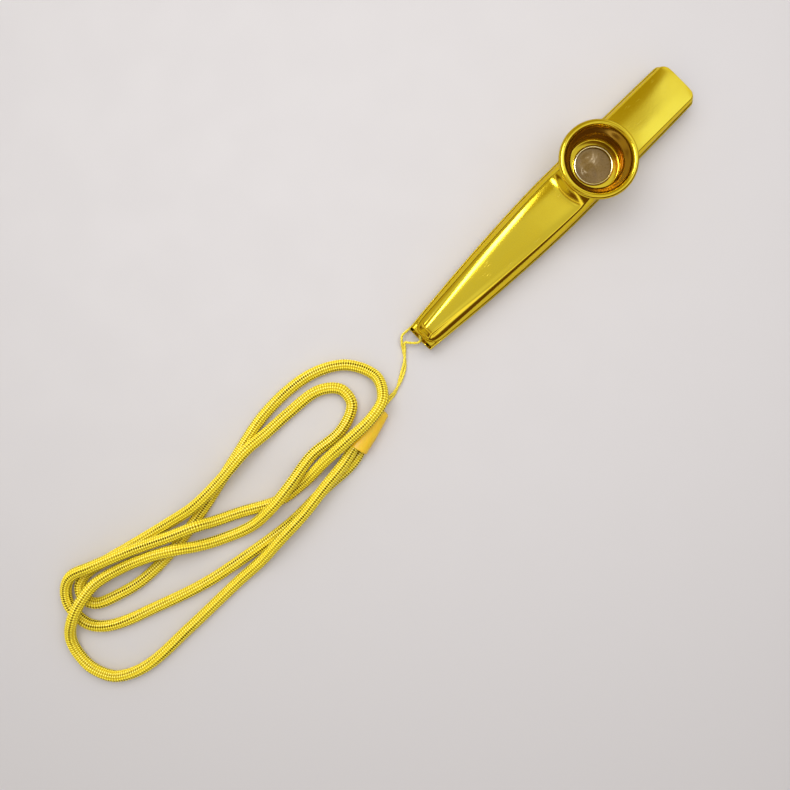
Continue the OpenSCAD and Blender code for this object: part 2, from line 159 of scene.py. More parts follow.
# The cord's route from the sleeve through both hairpins and back, and the string's through its hole
CORD_ROUTE = [
    (-0.1002, -0.0125, 0.002), (-0.1065, -0.0135, 0.002), (-0.117, -0.013, 0.002),
    (-0.134, -0.013, 0.002), (-0.1515, -0.0105, 0.002), (-0.1685, -0.007, 0.002),
    (-0.186, -0.001, 0.002), (-0.1995, 0.0045, 0.002), (-0.2055, 0.0105, 0.002),
    (-0.206, 0.019, 0.002), (-0.203, 0.024, 0.0026), (-0.1975, 0.026, 0.0048),
    (-0.1905, 0.0235, 0.0062), (-0.176, 0.0175, 0.0062), (-0.1645, 0.012, 0.0061),
    (-0.1565, 0.0085, 0.006), (-0.1515, 0.0055, 0.0034), (-0.1435, 0.0015, 0.002),
    (-0.131, -0.005, 0.002), (-0.121, -0.0065, 0.0022), (-0.1105, -0.0065, 0.0052),
    (-0.1005, -0.007, 0.0079), (-0.0895, -0.0072, 0.0082), (-0.0825, -0.0052, 0.0066),
    (-0.079, 0.002, 0.0028), (-0.084, 0.012, 0.002), (-0.096, 0.018, 0.002),
    (-0.114, 0.019, 0.002), (-0.1315, 0.0155, 0.002), (-0.1515, 0.011, 0.002),
    (-0.1675, 0.0085, 0.002), (-0.1825, 0.0085, 0.002), (-0.194, 0.0115, 0.002),
    (-0.199, 0.014, 0.002), (-0.2007, 0.018, 0.002), (-0.1985, 0.022, 0.002),
    (-0.194, 0.0233, 0.002), (-0.1875, 0.022, 0.002), (-0.176, 0.019, 0.002),
    (-0.1615, 0.0155, 0.0028), (-0.1515, 0.0135, 0.0058), (-0.14, 0.0135, 0.0063),
    (-0.127, 0.0145, 0.006), (-0.1185, 0.014, 0.0032), (-0.108, 0.0135, 0.002),
    (-0.0965, 0.012, 0.002), (-0.0905, 0.007, 0.002), (-0.0915, 0.0005, 0.002),
    (-0.1005, -0.003, 0.002), (-0.113, -0.002, 0.0028), (-0.125, -0.004, 0.0059),
    (-0.134, -0.005, 0.0061), (-0.1435, -0.0045, 0.003), (-0.154, -0.0005, 0.002),
    (-0.161, 0.0035, 0.004), (-0.167, 0.008, 0.0063), (-0.174, 0.012, 0.0056),
    (-0.1835, 0.016, 0.0046), (-0.1935, 0.0185, 0.0052), (-0.201, 0.0175, 0.0064),
    (-0.2065, 0.0155, 0.0063), (-0.2125, 0.012, 0.003), (-0.215, 0.0065, 0.002),
    (-0.215, -0.001, 0.002), (-0.211, -0.0085, 0.002), (-0.201, -0.013, 0.002),
    (-0.1825, -0.014, 0.002), (-0.1605, -0.0145, 0.002), (-0.149, -0.015, 0.0036),
    (-0.14, -0.0145, 0.0058), (-0.128, -0.014, 0.0062), (-0.1165, -0.0125, 0.0062),
    (-0.1075, -0.0115, 0.0055), (-0.1008, -0.01, 0.005),
]
STRING_ROUTE = [
    (-0.0854, -0.0071, 0.0027), (-0.082, -0.0064, 0.0015), (-0.0783, -0.0061, 0.0006),
    (-0.0728, -0.0038, 0.0005), (-0.0692, -0.0015, 0.0005), (-0.0664, 0.0017, 0.0009),
    (-0.0645, 0.0044, 0.0021), (-0.0632, 0.0051, 0.0024), (-0.0612, 0.0051, 0.0016),
    (-0.0594, 0.005, 0.0011), (-0.058, 0.0049, 0.0014), (-0.0575, 0.0042, 0.0021),
    (-0.0577, 0.003, 0.0031), (-0.0588, 0.001, 0.0033), (-0.0603, -0.0006, 0.0027),
    (-0.0618, 0.0002, 0.0023), (-0.0635, 0.0021, 0.0023), (-0.0646, 0.0023, 0.0018),
    (-0.0655, 0.0013, 0.001), (-0.0685, -0.0022, 0.0005), (-0.0723, -0.0047, 0.0005),
    (-0.0781, -0.0071, 0.0006), (-0.0822, -0.0074, 0.0015), (-0.0856, -0.0081, 0.0027),
]


def mix(a, b, t):
    return a + (b - a) * t


def clamp01(t):
    return min(1, max(0, t))


def ease(t):
    t = clamp01(t)
    return t * t * (3 - 2 * t)


def rising(value, start, reach):
    """A soft step from 0 at start to 1 a reach above it."""
    return ease((value - start) / reach)


def falling(value, end, reach):
    """A soft step from 1 a reach below end to 0 at end."""
    return ease((end - value) / reach)


def spread(low, high, count):
    """count + 1 even steps from low to high."""
    return [mix(low, high, i / count) for i in range(count + 1)]


def angles(count):
    """Steps of a quarter circle, from 0 to a right angle."""
    return spread(0, math.pi / 2, count)


# Routes: the same smooth curve as the solids follow


def way(points, i):
    """How a curve runs at a point of its route, for each metre of the route."""
    before, here, after = points[max(i - 1, 0)], points[i], points[min(i + 1, len(points) - 1)]
    return (after - before) / ((here - before).length + (after - here).length)


def smooth_route(route, step):
    """Points along the curve through a route, about step apart."""
    points = [Vector(p) for p in route]
    result = []
    for i in range(len(points) - 1):
        a, b = points[i], points[i + 1]
        reach = (b - a).length
        leave, arrive = way(points, i) * reach, way(points, i + 1) * reach
        count = max(2, math.ceil(reach / step))
        for k in range(count):
            t = k / count
            result.append(
                a * (2 * t**3 - 3 * t**2 + 1)
                + leave * (t**3 - 2 * t**2 + t)
                + b * (3 * t**2 - 2 * t**3)
                + arrive * (t**3 - t**2)
            )
    return result + [points[-1]]


# Meshes

WELD = 1e-7


def new_object(name, data):
    made = bpy.data.objects.new(name, data)
    bpy.context.scene.collection.objects.link(made)
    return made


def store_numbers(mesh, name, numbers):
    """Stores a number on each point of a mesh."""
    mesh.attributes.new(name, "FLOAT", "POINT").data.foreach_set("value", numbers)


def new_piece(name, points, faces):
    """A smooth mesh piece at the origin, welded and with its faces turned outwards."""
    shape = bmesh.new()
    made = [shape.verts.new(p) for p in points]
    for face in faces:
        corners = [made[i] for i in face]
        if len(set(corners)) == len(corners):
            shape.faces.new(corners)
    bmesh.ops.remove_doubles(shape, verts=shape.verts, dist=WELD)
    bmesh.ops.recalc_face_normals(shape, faces=shape.faces)
    mesh = bpy.data.meshes.new(name)
    shape.to_mesh(mesh)
    shape.free()
    for polygon in mesh.polygons:
        polygon.use_smooth = True
    return new_object(name, mesh)


class Grids:
    """Gathers rows of points into one list of points and faces."""

    def __init__(self):
        self.points = []
        self.faces = []

    def add(self, rows, closed=False):
        """Adds faces between rows of equally many points. closed joins each row's ends."""
        start = len(self.points)
        width = len(rows[0])
        for row in rows:
            self.points.extend(row)
        for i in range(len(rows) - 1):
            for j in range(width if closed else width - 1):
                k = (j + 1) % width
                a, b = start + i * width, start + (i + 1) * width
                self.faces.append((a + j, a + k, b + k, b + j))

    def piece(self, name):
        return new_piece(name, self.points, self.faces)


def ringed_piece(name, rings):
    """A piece whose rings of points each close on themselves."""
    grids = Grids()
    grids.add(rings, closed=True)
    return grids.piece(name)


def applied(piece):
    """The piece with its modifiers made real."""
    graph = bpy.context.evaluated_depsgraph_get()
    mesh = bpy.data.meshes.new_from_object(piece.evaluated_get(graph))
    piece.modifiers.clear()
    piece.data = mesh
    return piece


# Body curves, each at the distance s from the narrow end


def corner_cut(s):
    """How far the mouth end's rounded corner draws the rim in."""
    d = s - (BODY_LEN - CORNER_R)
    return CORNER_R - math.sqrt(max(0, CORNER_R**2 - d**2)) if d > 0 else 0


def rim_half(s):
    far, end = (WIDEST_AT, END_W) if s < WIDEST_AT else (BODY_LEN - WIDEST_AT, MOUTH_W)
    half = mix(BODY_W, end, (abs(s - WIDEST_AT) / far) ** OUTLINE_POWER) / 2
    return half - corner_cut(s)


def panel_z(s):
    if s < FLAT_FROM:
        return mix(PANEL_H, END_H, ((FLAT_FROM - s) / FLAT_FROM) ** END_FALL_POWER)
    if s > FLAT_TO:
        share = (s - FLAT_TO) / (BODY_LEN - FLAT_TO)
        return mix(PANEL_H, MOUTH_H, share**MOUTH_FALL_POWER)
    return PANEL_H


def top_z(s, nose):
    return mix(SEAM_H + STRIP_RISE, panel_z(s), nose)


def panel_half(s, nose):
    body_shoulder = mix(SHOULDER_END_W, SHOULDER_MOUTH_W, (s / BODY_LEN) ** SHOULDER_POWER)
    return rim_half(s) - mix(STRIP_SHOULDER_W, body_shoulder, nose)


def keel_z(s):
    if s < KEEL_FROM:
        return END_RISE * ((KEEL_FROM - s) / KEEL_FROM) ** KEEL_POWER
    if s > KEEL_TO:
        return MOUTH_RISE * ((s - KEEL_TO) / (BODY_LEN - KEEL_TO)) ** KEEL_POWER
    return 0


def keel_half(s):
    return rim_half(s) * (KEEL_SHARE + MOUTH_KEEL_SHARE * (s / BODY_LEN) ** KEEL_WIDENING_POWER)


# Upper shell: a grid that opens round the boss, with a wall on each side of the boss

SHOULDER_START = math.radians(77)
SHOULDER_ANGLES = spread(0, SHOULDER_START, 16)
PANEL_SHARES = spread(-1, 1, 48)[1:-1]
CROWN = 0.34 * MM
CROWN_POWER = 4
NOSE_CORNER_R = 3.3 * MM
NOSE_FADE = 15 * MM
END_STRIP_W = 0.55 * MM
CHEEK_H = 3.4 * MM
FLARE_POWER = 0.8
TOP_SHARES = (0.25, 0.75)
BORE_SHARES = (0.3, 0.7, 1)
SETTLING_PASSES = 4
# Past the flare the rows fan out, as arcs that straighten, before the plain rows start
FAN_LEN = 7 * MM
FAN_POWER = 1.5
FAN_LIMIT = 1.02
ARC_END = FLARE_R + 7.5 * MM
# Rows or columns over each stretch of the grid
FLARE_STEPS = 20
FAN_STEPS = 10
NARROW_STEPS = 60
WIDE_STEPS = 18
STRIP_STEPS = 6
FOOT_STEPS = 6
NOSE_STEPS = 14
CORNER_STEPS = 10
SIDE_STEPS = 24
LAP_LOW = SEAM_H - LAP_DEPTH
ACROSS = (
    [("skirt", -1, 0), ("skirt", -1, 0.5)]
    + [("shoulder", -1, a) for a in SHOULDER_ANGLES]
    + [("panel", 0, t) for t in PANEL_SHARES]
    + [("shoulder", 1, a) for a in reversed(SHOULDER_ANGLES)]
    + [("skirt", 1, 0.5), ("skirt", 1, 0)]
)
SIDE_COUNT = 2 + len(SHOULDER_ANGLES)


def flare_rise(r):
    """Height that the flared foot adds to the panel at the distance r from the cup's axis."""
    if r >= FLARE_R:
        return 0
    share = ((FLARE_R - max(r, BOSS_R)) / FLARE_W) ** FLARE_POWER
    return (BOSS_H - EDGE) * (1 - math.sqrt(max(0, 1 - share**2)))


def upper_spot(s, nose, spot, wall):
    """Across, height and how far up the shoulder a spot of the upper section lies."""
    kind, side, t = spot
    half = rim_half(s) - LAP_STEP - wall
    panel = panel_half(s, nose)
    top = top_z(s, nose) - wall
    crown = CROWN * nose
    if kind == "skirt":
        return side * half, mix(LAP_LOW + EDGE, SEAM_H, t), 0
    if kind == "panel":
        return t * panel, top - crown * abs(t) ** CROWN_POWER, 1
    first = math.cos(SHOULDER_START)
    out = (math.cos(t) - first) / (1 - first)
    up = math.sin(t) / math.sin(SHOULDER_START)
    return side * mix(panel, half, out), mix(SEAM_H, top - crown, up), up


def upper_row(place, nose, wall):
    """One row of the upper shell. place gives a spot's distance from the narrow end by its y."""
    row = []
    for spot in ACROSS:
        s = place(0)
        for _ in range(SETTLING_PASSES):
            y, z, up = upper_spot(s, nose, spot, wall)
            s = place(y)
        lift = 0 if wall else flare_rise(math.hypot(s - CUP_AT, y)) * up
        row.append(Vector((s - HALF_LEN, y, z + lift)))
    return row


def straight(s):
    """A row straight across the kazoo."""
    return lambda y: s


def nosed(s, bend):
    """A row bent back at both sides, for the rounded corners of the nose."""
    half = rim_half(s) - LAP_STEP

    def place(y):
        d = max(0, abs(y) - (half - NOSE_CORNER_R))
        return s + bend * (NOSE_CORNER_R - math.sqrt(max(0, NOSE_CORNER_R**2 - d**2)))

    return place


def arc(side, reach, bend):
    """A row bent round the cup's axis: reach is its distance from it, bend its radius."""
    return lambda y: CUP_AT + side * (reach - bend + math.sqrt(max(0, bend**2 - y**2)))


def arc_rows(side, inner):
    """Places of the rows from the boss outwards: rings over the flare, then arcs that straighten."""
    if inner:
        rings = spread(BOSS_BORE_R, FLARE_R, FLARE_STEPS)
    else:
        rings = [FLARE_R - FLARE_W * math.cos(a) for a in angles(FLARE_STEPS)]
    places = [arc(side, r, r) for r in rings]
    for t in spread(0, 1, FAN_STEPS)[1:]:
        places.append(arc(side, FLARE_R + FAN_LEN * t, FLARE_R / (FAN_LIMIT - t) ** FAN_POWER))
    return places


def corner_places():
    """Places round the mouth end's corners, up to the cut edge's rounding."""
    reach = CORNER_R - EDGE
    return [BODY_LEN - CORNER_R + reach * math.sin(a) for a in angles(CORNER_STEPS)]


def nose_rows():
    """Places and heights of the strip, its concave foot and the nose at the narrow end."""
    foot = STRIP_START + END_STRIP_W
    strip = spread(0, 1, STRIP_STEPS)
    rows = [(nosed(mix(STRIP_START + EDGE, foot - FOOT_R, t), t**2), 0) for t in strip]
    for a in angles(FOOT_STEPS)[1:]:
        rows.append((nosed(foot - FOOT_R * (1 - math.sin(a)), 1), FOOT_SHARE * (1 - math.cos(a))))
    for a in angles(NOSE_STEPS)[1:]:
        rows.append((nosed(foot + NOSE_LEN * (1 - math.cos(a)), 1), mix(FOOT_SHARE, 1, math.sin(a))))
    return rows


# Sheet: loops that run over one surface, round the rim's cut edge and back over the other

CUT_SHARES = (0.2, 0.5, 0.8)
CUT_POINTS = 2 * len(CUT_SHARES)
ROUNDING_SHARE = 0.25


def rim_edge(outer, inner, rise):
    """Three points round the rim's cut edge, from the outer surface to the inner one."""
    return [outer.lerp(inner, t) + Vector((0, 0, rise)) for t in CUT_SHARES]


def sheet_loop(outer, inner, rise):
    start, end = rim_edge(outer[0], inner[0], rise), rim_edge(outer[-1], inner[-1], rise)
    return [start[0]] + outer + end + inner[::-1] + [start[2], start[1]]


def narrowed(loop, shift):
    """A loop drawn in to the middle of its sheet and moved along X, to round an end's cut edge."""
    result = list(loop)
    size = len(loop)
    for j in range((size - CUT_POINTS) // 2):
        a, b = 1 + j, size - 3 - j
        result[a] = loop[a].lerp(loop[b], ROUNDING_SHARE)
        result[b] = loop[b].lerp(loop[a], ROUNDING_SHARE)
    return [p + Vector((shift, 0, 0)) for p in result]


def add_sheet(grids, outer_rows, inner_rows, rise, first_shift, last_shift):
    """Sheet between two surfaces. An end with a shift is closed by a rounded cut edge."""
    loops = [sheet_loop(a, b, rise) for a, b in zip(outer_rows, inner_rows)]
    if first_shift:
        loops.insert(0, narrowed(loops[0], first_shift))
    if last_shift:
        loops.append(narrowed(loops[-1], last_shift))
    start = len(grids.points)
    grids.add(loops, closed=True)
    size = len(loops[0])
    count = (size - CUT_POINTS) // 2
    for tip, shift in ((0, first_shift), (len(loops) - 1, last_shift)):
        if not shift:
            continue
        base = start + tip * size
        for j in range(count - 1):
            grids.faces.append((base + 1 + j, base + 2 + j, base + size - 4 - j, base + size - 3 - j))
        grids.faces.append((base, base + 1, base + size - 3, base + size - 2, base + size - 1))
        grids.faces.append(tuple(base + count + k for k in range(5)))


def side_column(front, back, share, wall):
    """One column of the boss's side wall, between the rows that end at the boss before and behind it."""
    radius = BOSS_BORE_R if wall else BOSS_R
    column = []
    for a, b in zip(front, back):
        before = math.atan2(abs(a.y), a.x - CUP_X)
        behind = math.atan2(abs(b.y), b.x - CUP_X)
        angle = mix(before, behind, share)
        z = mix(a.z, b.z, share)
        seam = rim_half(CUP_AT + radius * math.cos(angle)) - LAP_STEP - wall
        start = min(radius, seam / math.sin(angle))
        r = mix(start, radius, ease((z - SEAM_H) / CHEEK_H))
        across = math.copysign(r * math.sin(angle), a.y)
        column.append(Vector((CUP_X + r * math.cos(angle), across, z)))
    return column


def half_rows(side):
    """Rows of the upper shell from the boss to one end, on the outer and on the inner surface."""
    if side < 0:
        nose_end = STRIP_START + END_STRIP_W + NOSE_LEN
        body = spread(nose_end, CUP_AT - ARC_END, NARROW_STEPS)[:0:-1]
        far = [(nosed(s, falling(s, nose_end + NOSE_FADE, NOSE_FADE)), 1) for s in body] + nose_rows()[::-1]
    else:
        body = spread(CUP_AT + ARC_END, BODY_LEN - CORNER_R, WIDE_STEPS)[:-1]
        far = [(straight(s), 1) for s in body + corner_places()]
    surfaces = []
    for wall in (0, SHEET):
        near = [(place, 1) for place in arc_rows(side, wall > 0)]
        surfaces.append([upper_row(place, nose, wall) for place, nose in near + far])
    return surfaces


def side_columns(side, ring):
    """Columns of the boss's wall on one side: down outside, round the rim and up inside."""
    part = slice(0, SIDE_COUNT) if side < 0 else slice(-1, -SIDE_COUNT - 1, -1)
    front, back = [[row[part] for row in ring[end]] for end in (-1, 1)]
    columns = []
    for share in spread(0, 1, SIDE_STEPS):
        if share in (0, 1):
            outer, inner = back if share else front
        else:
            outer = side_column(front[0], back[0], share, 0)
            inner = side_column(front[1], back[1], share, SHEET)
        columns.append(outer[::-1] + rim_edge(outer[0], inner[0], -EDGE) + inner)
    return columns


def collar_rows(outer, inner):
    """Rows from the outer surface up over the boss's top edge and down its bore to the inner one."""
    rows = [outer]
    edge = [(mix(BOSS_R, BOSS_BORE_R, t), BOSS_TOP) for t in TOP_SHARES]
    for radius, z in edge + [(BOSS_BORE_R, BOSS_TOP - EDGE)]:
        outwards = [Vector((p.x - CUP_X, p.y, 0)).normalized() for p in outer]
        rows.append([Vector((CUP_X, 0, z)) + out * radius for out in outwards])
    bore = rows[-1]
    for share in BORE_SHARES:
        rows.append([a.lerp(b, share) for a, b in zip(bore, inner)])
    return rows


def make_upper_shell():
    grids = Grids()
    ring, tops = {}, {}
    for side in (-1, 1):
        outer, inner = half_rows(side)
        add_sheet(grids, outer, inner, -EDGE, 0, side * EDGE)
        ring[side] = (outer[0], inner[0])
    for side in (-1, 1):
        columns = side_columns(side, ring)
        grids.add(columns)
        tops[side] = ([c[0] for c in columns], [c[-1] for c in columns])
    circles = []
    panel = slice(SIDE_COUNT - 1, len(ACROSS) - SIDE_COUNT + 1)
    for layer in (0, 1):
        front, back = ring[-1][layer][panel], ring[1][layer][panel]
        circles.append(front[:-1] + tops[1][layer][:-1] + back[:0:-1] + tops[-1][layer][:0:-1])
    grids.add(collar_rows(*circles), closed=True)
    return grids.piece("upper_shell_pressing")


# Lower shell: a trough whose rim stands outside the upper shell's skirt

RIM_DROP_Z = LAP_LOW - LAP_GAP
RIM_SHARES = (0, 0.2, 0.6)
BILGE_ANGLES = angles(20)
KEEL_SHARES = spread(1, -1, 16)[1:-1]
LOWER_ACROSS = (
    [("rim", 1, t) for t in RIM_SHARES]
    + [("bilge", 1, a) for a in BILGE_ANGLES]
    + [("keel", 0, t) for t in KEEL_SHARES]
    + [("bilge", -1, a) for a in BILGE_ANGLES[::-1]]
    + [("rim", -1, t) for t in RIM_SHARES[::-1]]
)
END_STRETCH = 6 * MM
END_STEPS = 16
HULL_STEPS = 70
DRILL_SIDES = 48
DRILL_DEPTH = 3 * MM
DRILL_SLOPE = math.pi / 4


def lower_spot(s, spot, wall):
    kind, side, t = spot
    half = rim_half(s) - wall
    keel = keel_half(s)
    base = keel_z(s) + wall
    if kind == "rim":
        return side * half, mix(SEAM_H - EDGE, RIM_DROP_Z, t)
    if kind == "keel":
        return t * keel, base
    return side * mix(keel, half, math.cos(t)), mix(RIM_DROP_Z, base, math.sin(t))


def lower_row(s, wall):
    return [Vector((s - HALF_LEN, *lower_spot(s, spot, wall))) for spot in LOWER_ACROSS]


def make_lower_shell():
    places = [EDGE] + spread(EDGE * 2, END_STRETCH, END_STEPS)
    places += spread(END_STRETCH, BODY_LEN - CORNER_R, HULL_STEPS)[1:-1] + corner_places()
    grids = Grids()
    outer = [lower_row(s, 0) for s in places]
    inner = [lower_row(s, SHEET) for s in places]
    add_sheet(grids, outer, inner, EDGE, -EDGE, EDGE)
    return grids.piece("lower_shell_pressing")


def mark_rim(shell):
    """Stores where the lower shell's rim is, whose cut edge is rougher than its sides and darkened as painted
    shade.
    """
    marks = [rising(vertex.co.z, SEAM_H - 2 * EDGE, EDGE) for vertex in shell.data.vertices]
    store_numbers(shell.data, "dull", marks)
    return shell


def pierce_string_hole(shell):
    """The string's hole through the lower shell's side, near the narrow end."""
    y, z = lower_spot(STRING_HOLE_AT, ("bilge", 1, DRILL_SLOPE), 0)
    place = Matrix.Translation((STRING_HOLE_AT - HALF_LEN, y, z)) @ Matrix.Rotation(DRILL_SLOPE, 4, "X")
    drill_mesh = bmesh.new()
    bmesh.ops.create_cone(drill_mesh, cap_ends=True, segments=DRILL_SIDES, radius1=STRING_HOLE_D / 2,
                          radius2=STRING_HOLE_D / 2, depth=DRILL_DEPTH, matrix=place)
    mesh = bpy.data.meshes.new("drill")
    drill_mesh.to_mesh(mesh)
    drill_mesh.free()
    drill = new_object("drill", mesh)
    cut = shell.modifiers.new("hole", "BOOLEAN")
    cut.object = drill
    cut.operation = "DIFFERENCE"
    cut.solver = "EXACT"
    applied(shell)
    bpy.data.objects.remove(drill)
    return shell


# Turned pieces: cup and socket, with a rolled thread

THREAD_LOW = THREAD_Z - 0.3 * THREAD_PITCH
THREAD_HIGH = THREAD_Z + 2.05 * THREAD_PITCH
THREAD_FADE = 0.35 * THREAD_PITCH
THREAD_POWER = 1.4


def thread_wave(z, angle, phase):
    """Height of the rolled thread at a place on the wall, from 0 to 1: round ridges that fade in and out."""
    turns = (z - THREAD_Z) / THREAD_PITCH - angle / FULL_TURN + phase
    ridge = (0.5 + 0.5 * math.cos(FULL_TURN * turns)) ** THREAD_POWER
    return ridge * rising(z, THREAD_LOW, THREAD_FADE) * falling(z, THREAD_HIGH, THREAD_FADE)


def turned(name, profile, segments):
    """A closed profile turned about the cup's axis. Its points are radius, height, thread depth and phase."""
    rows = []
    for k in range(segments):
        angle = FULL_TURN * k / segments
        row = []
        for r, z, depth, phase in profile:
            out = r + (depth * thread_wave(z, angle, phase) if depth else 0)
            row.append(Vector((CUP_X + out * math.cos(angle), out * math.sin(angle), z)))
        rows.append(row)
    return ringed_piece(name, rows + [rows[0]])


def plain(spots):
    """Profile points with no thread on them."""
    return [(r, z, 0, 0) for r, z in spots]


def arc_points(r, z, radius, start, end, count):
    """Profile points of an arc round a centre, from one angle to another, in degrees."""
    turns = spread(math.radians(start), math.radians(end), count)
    return plain([(r + radius * math.cos(a), z + radius * math.sin(a)) for a in turns])


CUP_SEGMENTS = 192
CUP_BEND_R = 0.4 * MM
CUP_CORNER_R = 0.5 * MM
SKIRT_FOOT = 0.45 * MM
BEAD_FOOT = 0.1 * MM
BEAD_FOOT_H = 0.12 * MM
FLOOR_START = 0.3 * MM
LIP_CURL_END = -140
# Steps of the profile over each stretch
SKIRT_STEPS = 44
BELL_STEPS = 18
LIP_STEPS = 40
LIP_BACK_STEPS = 30
BEAD_STEPS = 12
FLOOR_STEPS = 8
BEND_STEPS = 6


def make_cup():
    """The cup's profile runs over the bead and floor, up the inside, round the lip and down the outside."""
    skirt = spread(CUP_FLOOR_Z + SKIRT_FOOT, CUP_FLARE_Z, SKIRT_STEPS)
    rise = spread(0, 1, BELL_STEPS)[1:-1]
    bell = [(mix(CUP_R, LIP_MID_R - LIP_R, ease(t)), mix(CUP_FLARE_Z, LIP_Z, t)) for t in rise]
    hole, bead_r = HOLE_D / 2, BEAD_W / 2
    bead_end = hole + BEAD_W
    floor_inside = spread(bead_end + FLOOR_START, CUP_R - CUP_BEND_R, FLOOR_STEPS)[:-1]
    floor_under = spread(CUP_OUT_R - CUP_CORNER_R, hole + BEAD_FOOT, FLOOR_STEPS)[1:]
    profile = plain([(hole, CUP_Z + BEAD_FOOT)])
    profile += arc_points(hole + bead_r, CUP_FLOOR_Z + BEAD_H - bead_r, bead_r, 180, 0, BEAD_STEPS)
    profile += plain([(bead_end, CUP_FLOOR_Z + BEAD_FOOT_H), (bead_end + BEAD_FOOT, CUP_FLOOR_Z)])
    profile += plain([(r, CUP_FLOOR_Z) for r in floor_inside])
    profile += arc_points(CUP_R - CUP_BEND_R, CUP_FLOOR_Z + CUP_BEND_R, CUP_BEND_R, -90, 0, BEND_STEPS)
    profile += [(CUP_R, z, THREAD_H, 0) for z in skirt]
    profile += plain(bell)
    profile += arc_points(LIP_MID_R, LIP_Z, LIP_R, 180, LIP_CURL_END, LIP_STEPS)
    profile += arc_points(LIP_MID_R, LIP_Z, LIP_R - CUP_WALL, LIP_CURL_END, 180, LIP_BACK_STEPS)
    profile += plain([(r + CUP_WALL, z) for r, z in bell[::-1]])
    profile += [(CUP_OUT_R, z, THREAD_H, 0) for z in skirt[::-1]]
    profile += arc_points(CUP_OUT_R - CUP_CORNER_R, CUP_Z + CUP_CORNER_R, CUP_CORNER_R, 0, -90, BEND_STEPS)
    profile += plain([(r, CUP_Z) for r in floor_under])
    return marked(turned("cup_spinning", profile, CUP_SEGMENTS))


# Where the cup's painted shade inside, its floor's roughness and painted shade, and its bead crest's painted
# highlight end, the widths over which they fade, and their shares
SHADE_LOW = CUP_FLARE_Z + 0.8 * MM
SHADE_LOW_FADE = 2 * MM
SHADE_FOOT = CUP_FLOOR_Z + 0.3 * MM
SHADE_WALL = CUP_R - 1.2 * MM
SHADE_FADE = MM
SHADE_HIGH_SHARE = 0.5
RIDGE_SHARE = 0.6
FACING_GAIN = 3
DULL_SHARE = 0.1
DULL_TOP = CUP_FLOOR_Z + 0.6 * MM
DULL_TOP_FADE = 0.3 * MM
DULL_EDGE = CUP_R + 0.1 * MM
DULL_EDGE_FADE = 0.2 * MM
HIGHLIGHT_HALF_W = 0.525 * BEAD_W
HIGHLIGHT_FADE = 0.25 * BEAD_W


def marked(cup):
    """Stores painted shade on the cup's inner wall, strongest low down and lighter on the thread's ridges, a
    painted highlight on its bead's crest, and where its floor is rougher and a little darker as painted
    shade.
    """
    inside, bare, dull = [], [], []
    for vertex in cup.data.vertices:
        out = Vector((vertex.co.x - CUP_X, vertex.co.y, 0))
        r, z = out.length, vertex.co.z
        # Painted shade on the inner wall, strongest low down and lighter on the thread's ridges
        ridge = thread_wave(z, math.atan2(out.y, out.x), 0)
        wall = ease(-FACING_GAIN * vertex.normal.dot(out.normalized())) * rising(r, SHADE_WALL, SHADE_FADE)
        wall *= falling(z, LIP_Z + LIP_R / 2, LIP_R) * rising(z, SHADE_FOOT, SHADE_FADE)
        low = falling(z, SHADE_LOW, SHADE_LOW_FADE) * mix(1, RIDGE_SHARE, ridge)
        inside.append(wall * mix(SHADE_HIGH_SHARE, 1, low))
        # Painted highlight along the top of the bead's crest
        crest = abs(r - HOLE_D / 2 - BEAD_W / 2)
        bare.append(falling(crest, HIGHLIGHT_HALF_W, HIGHLIGHT_FADE) * rising(z, CUP_FLOOR_Z, BEAD_H / 2))
        # The floor is rougher, and a little darker as painted shade
        floor = falling(z, DULL_TOP, DULL_TOP_FADE) * falling(r, DULL_EDGE, DULL_EDGE_FADE)
        dull.append(DULL_SHARE * floor)
    for name, numbers in (("inside", inside), ("bare", bare), ("dull", dull)):
        store_numbers(cup.data, name, numbers)
    return cup


SOCKET_SEGMENTS = 144
SOCKET_FOOT = 0.3 * MM
SOCKET_PHASE = 0.5
SEAT_BEND = 0.2 * MM
BORE_STEPS = 48
SEAT_STEPS = 6
SOCKET_STEPS = 12


def make_socket():
    """The socket's profile runs up its inside from the seat's hole and down its outside."""
    seat = SEAT_HOLE_D / 2
    bore = spread(SEAT_Z + SOCKET_FOOT, SOCKET_TOP - EDGE, BORE_STEPS)
    flange = spread(seat + 2 * EDGE, BORE_R - SEAT_BEND, SEAT_STEPS)
    wall = spread(SOCKET_TOP - EDGE, SOCKET_Z + 2 * EDGE, SOCKET_STEPS)
    profile = plain([(seat, SOCKET_Z + EDGE), (seat, SEAT_Z - EDGE), (seat + EDGE, SEAT_Z)])
    profile += plain([(r, SEAT_Z) for r in flange])
    profile += [(BORE_R, z, -THREAD_H, SOCKET_PHASE) for z in bore]
    profile += plain([(BORE_R + EDGE, SOCKET_TOP), (SOCKET_R - EDGE, SOCKET_TOP)])
    profile += plain([(SOCKET_R, z) for z in wall])
    profile += plain([(SOCKET_R - 2 * EDGE, SOCKET_Z), (seat + EDGE, SOCKET_Z)])
    return turned("threaded_socket_drawing", profile, SOCKET_SEGMENTS)


# Membrane: a thin wrinkled film

FILM_R = 8.15 * MM
FILM_RINGS = 56
FILM_SEGMENTS = 160
WRINKLED_R = 5.5 * MM
WRINKLE_FADE = 2.2 * MM
WRINKLE_H = 0.9 * MM
# The film hangs slackest on one side: the way there, the width of the change and the least slack
SLACK_TURN = 2.2
SLACK_W = 7
SLACK_SHARE = 0.25
# A broad swell, and the waviness of the folds: noise per millimetre, and its height or width
SWELL_RATE = 0.25
SWELL_SHARE = 0.5
SWELL_START = Vector((3.1, 8.4, 0))
WAVY_RATE = 0.22
WAVY_W = 2.2
# Folds: the way across them in radians, how close they lie, their height, and where the noise starts
FOLDS = [(2.2, 0.16, 1.0, 0.3), (0.7, 0.22, 0.7, 4.2), (2.9, 0.42, 0.5, 9.4), (1.5, 0.8, 0.22, 2.7)]


def across(p, turn):
    return p.x * math.cos(turn) + p.y * math.sin(turn)


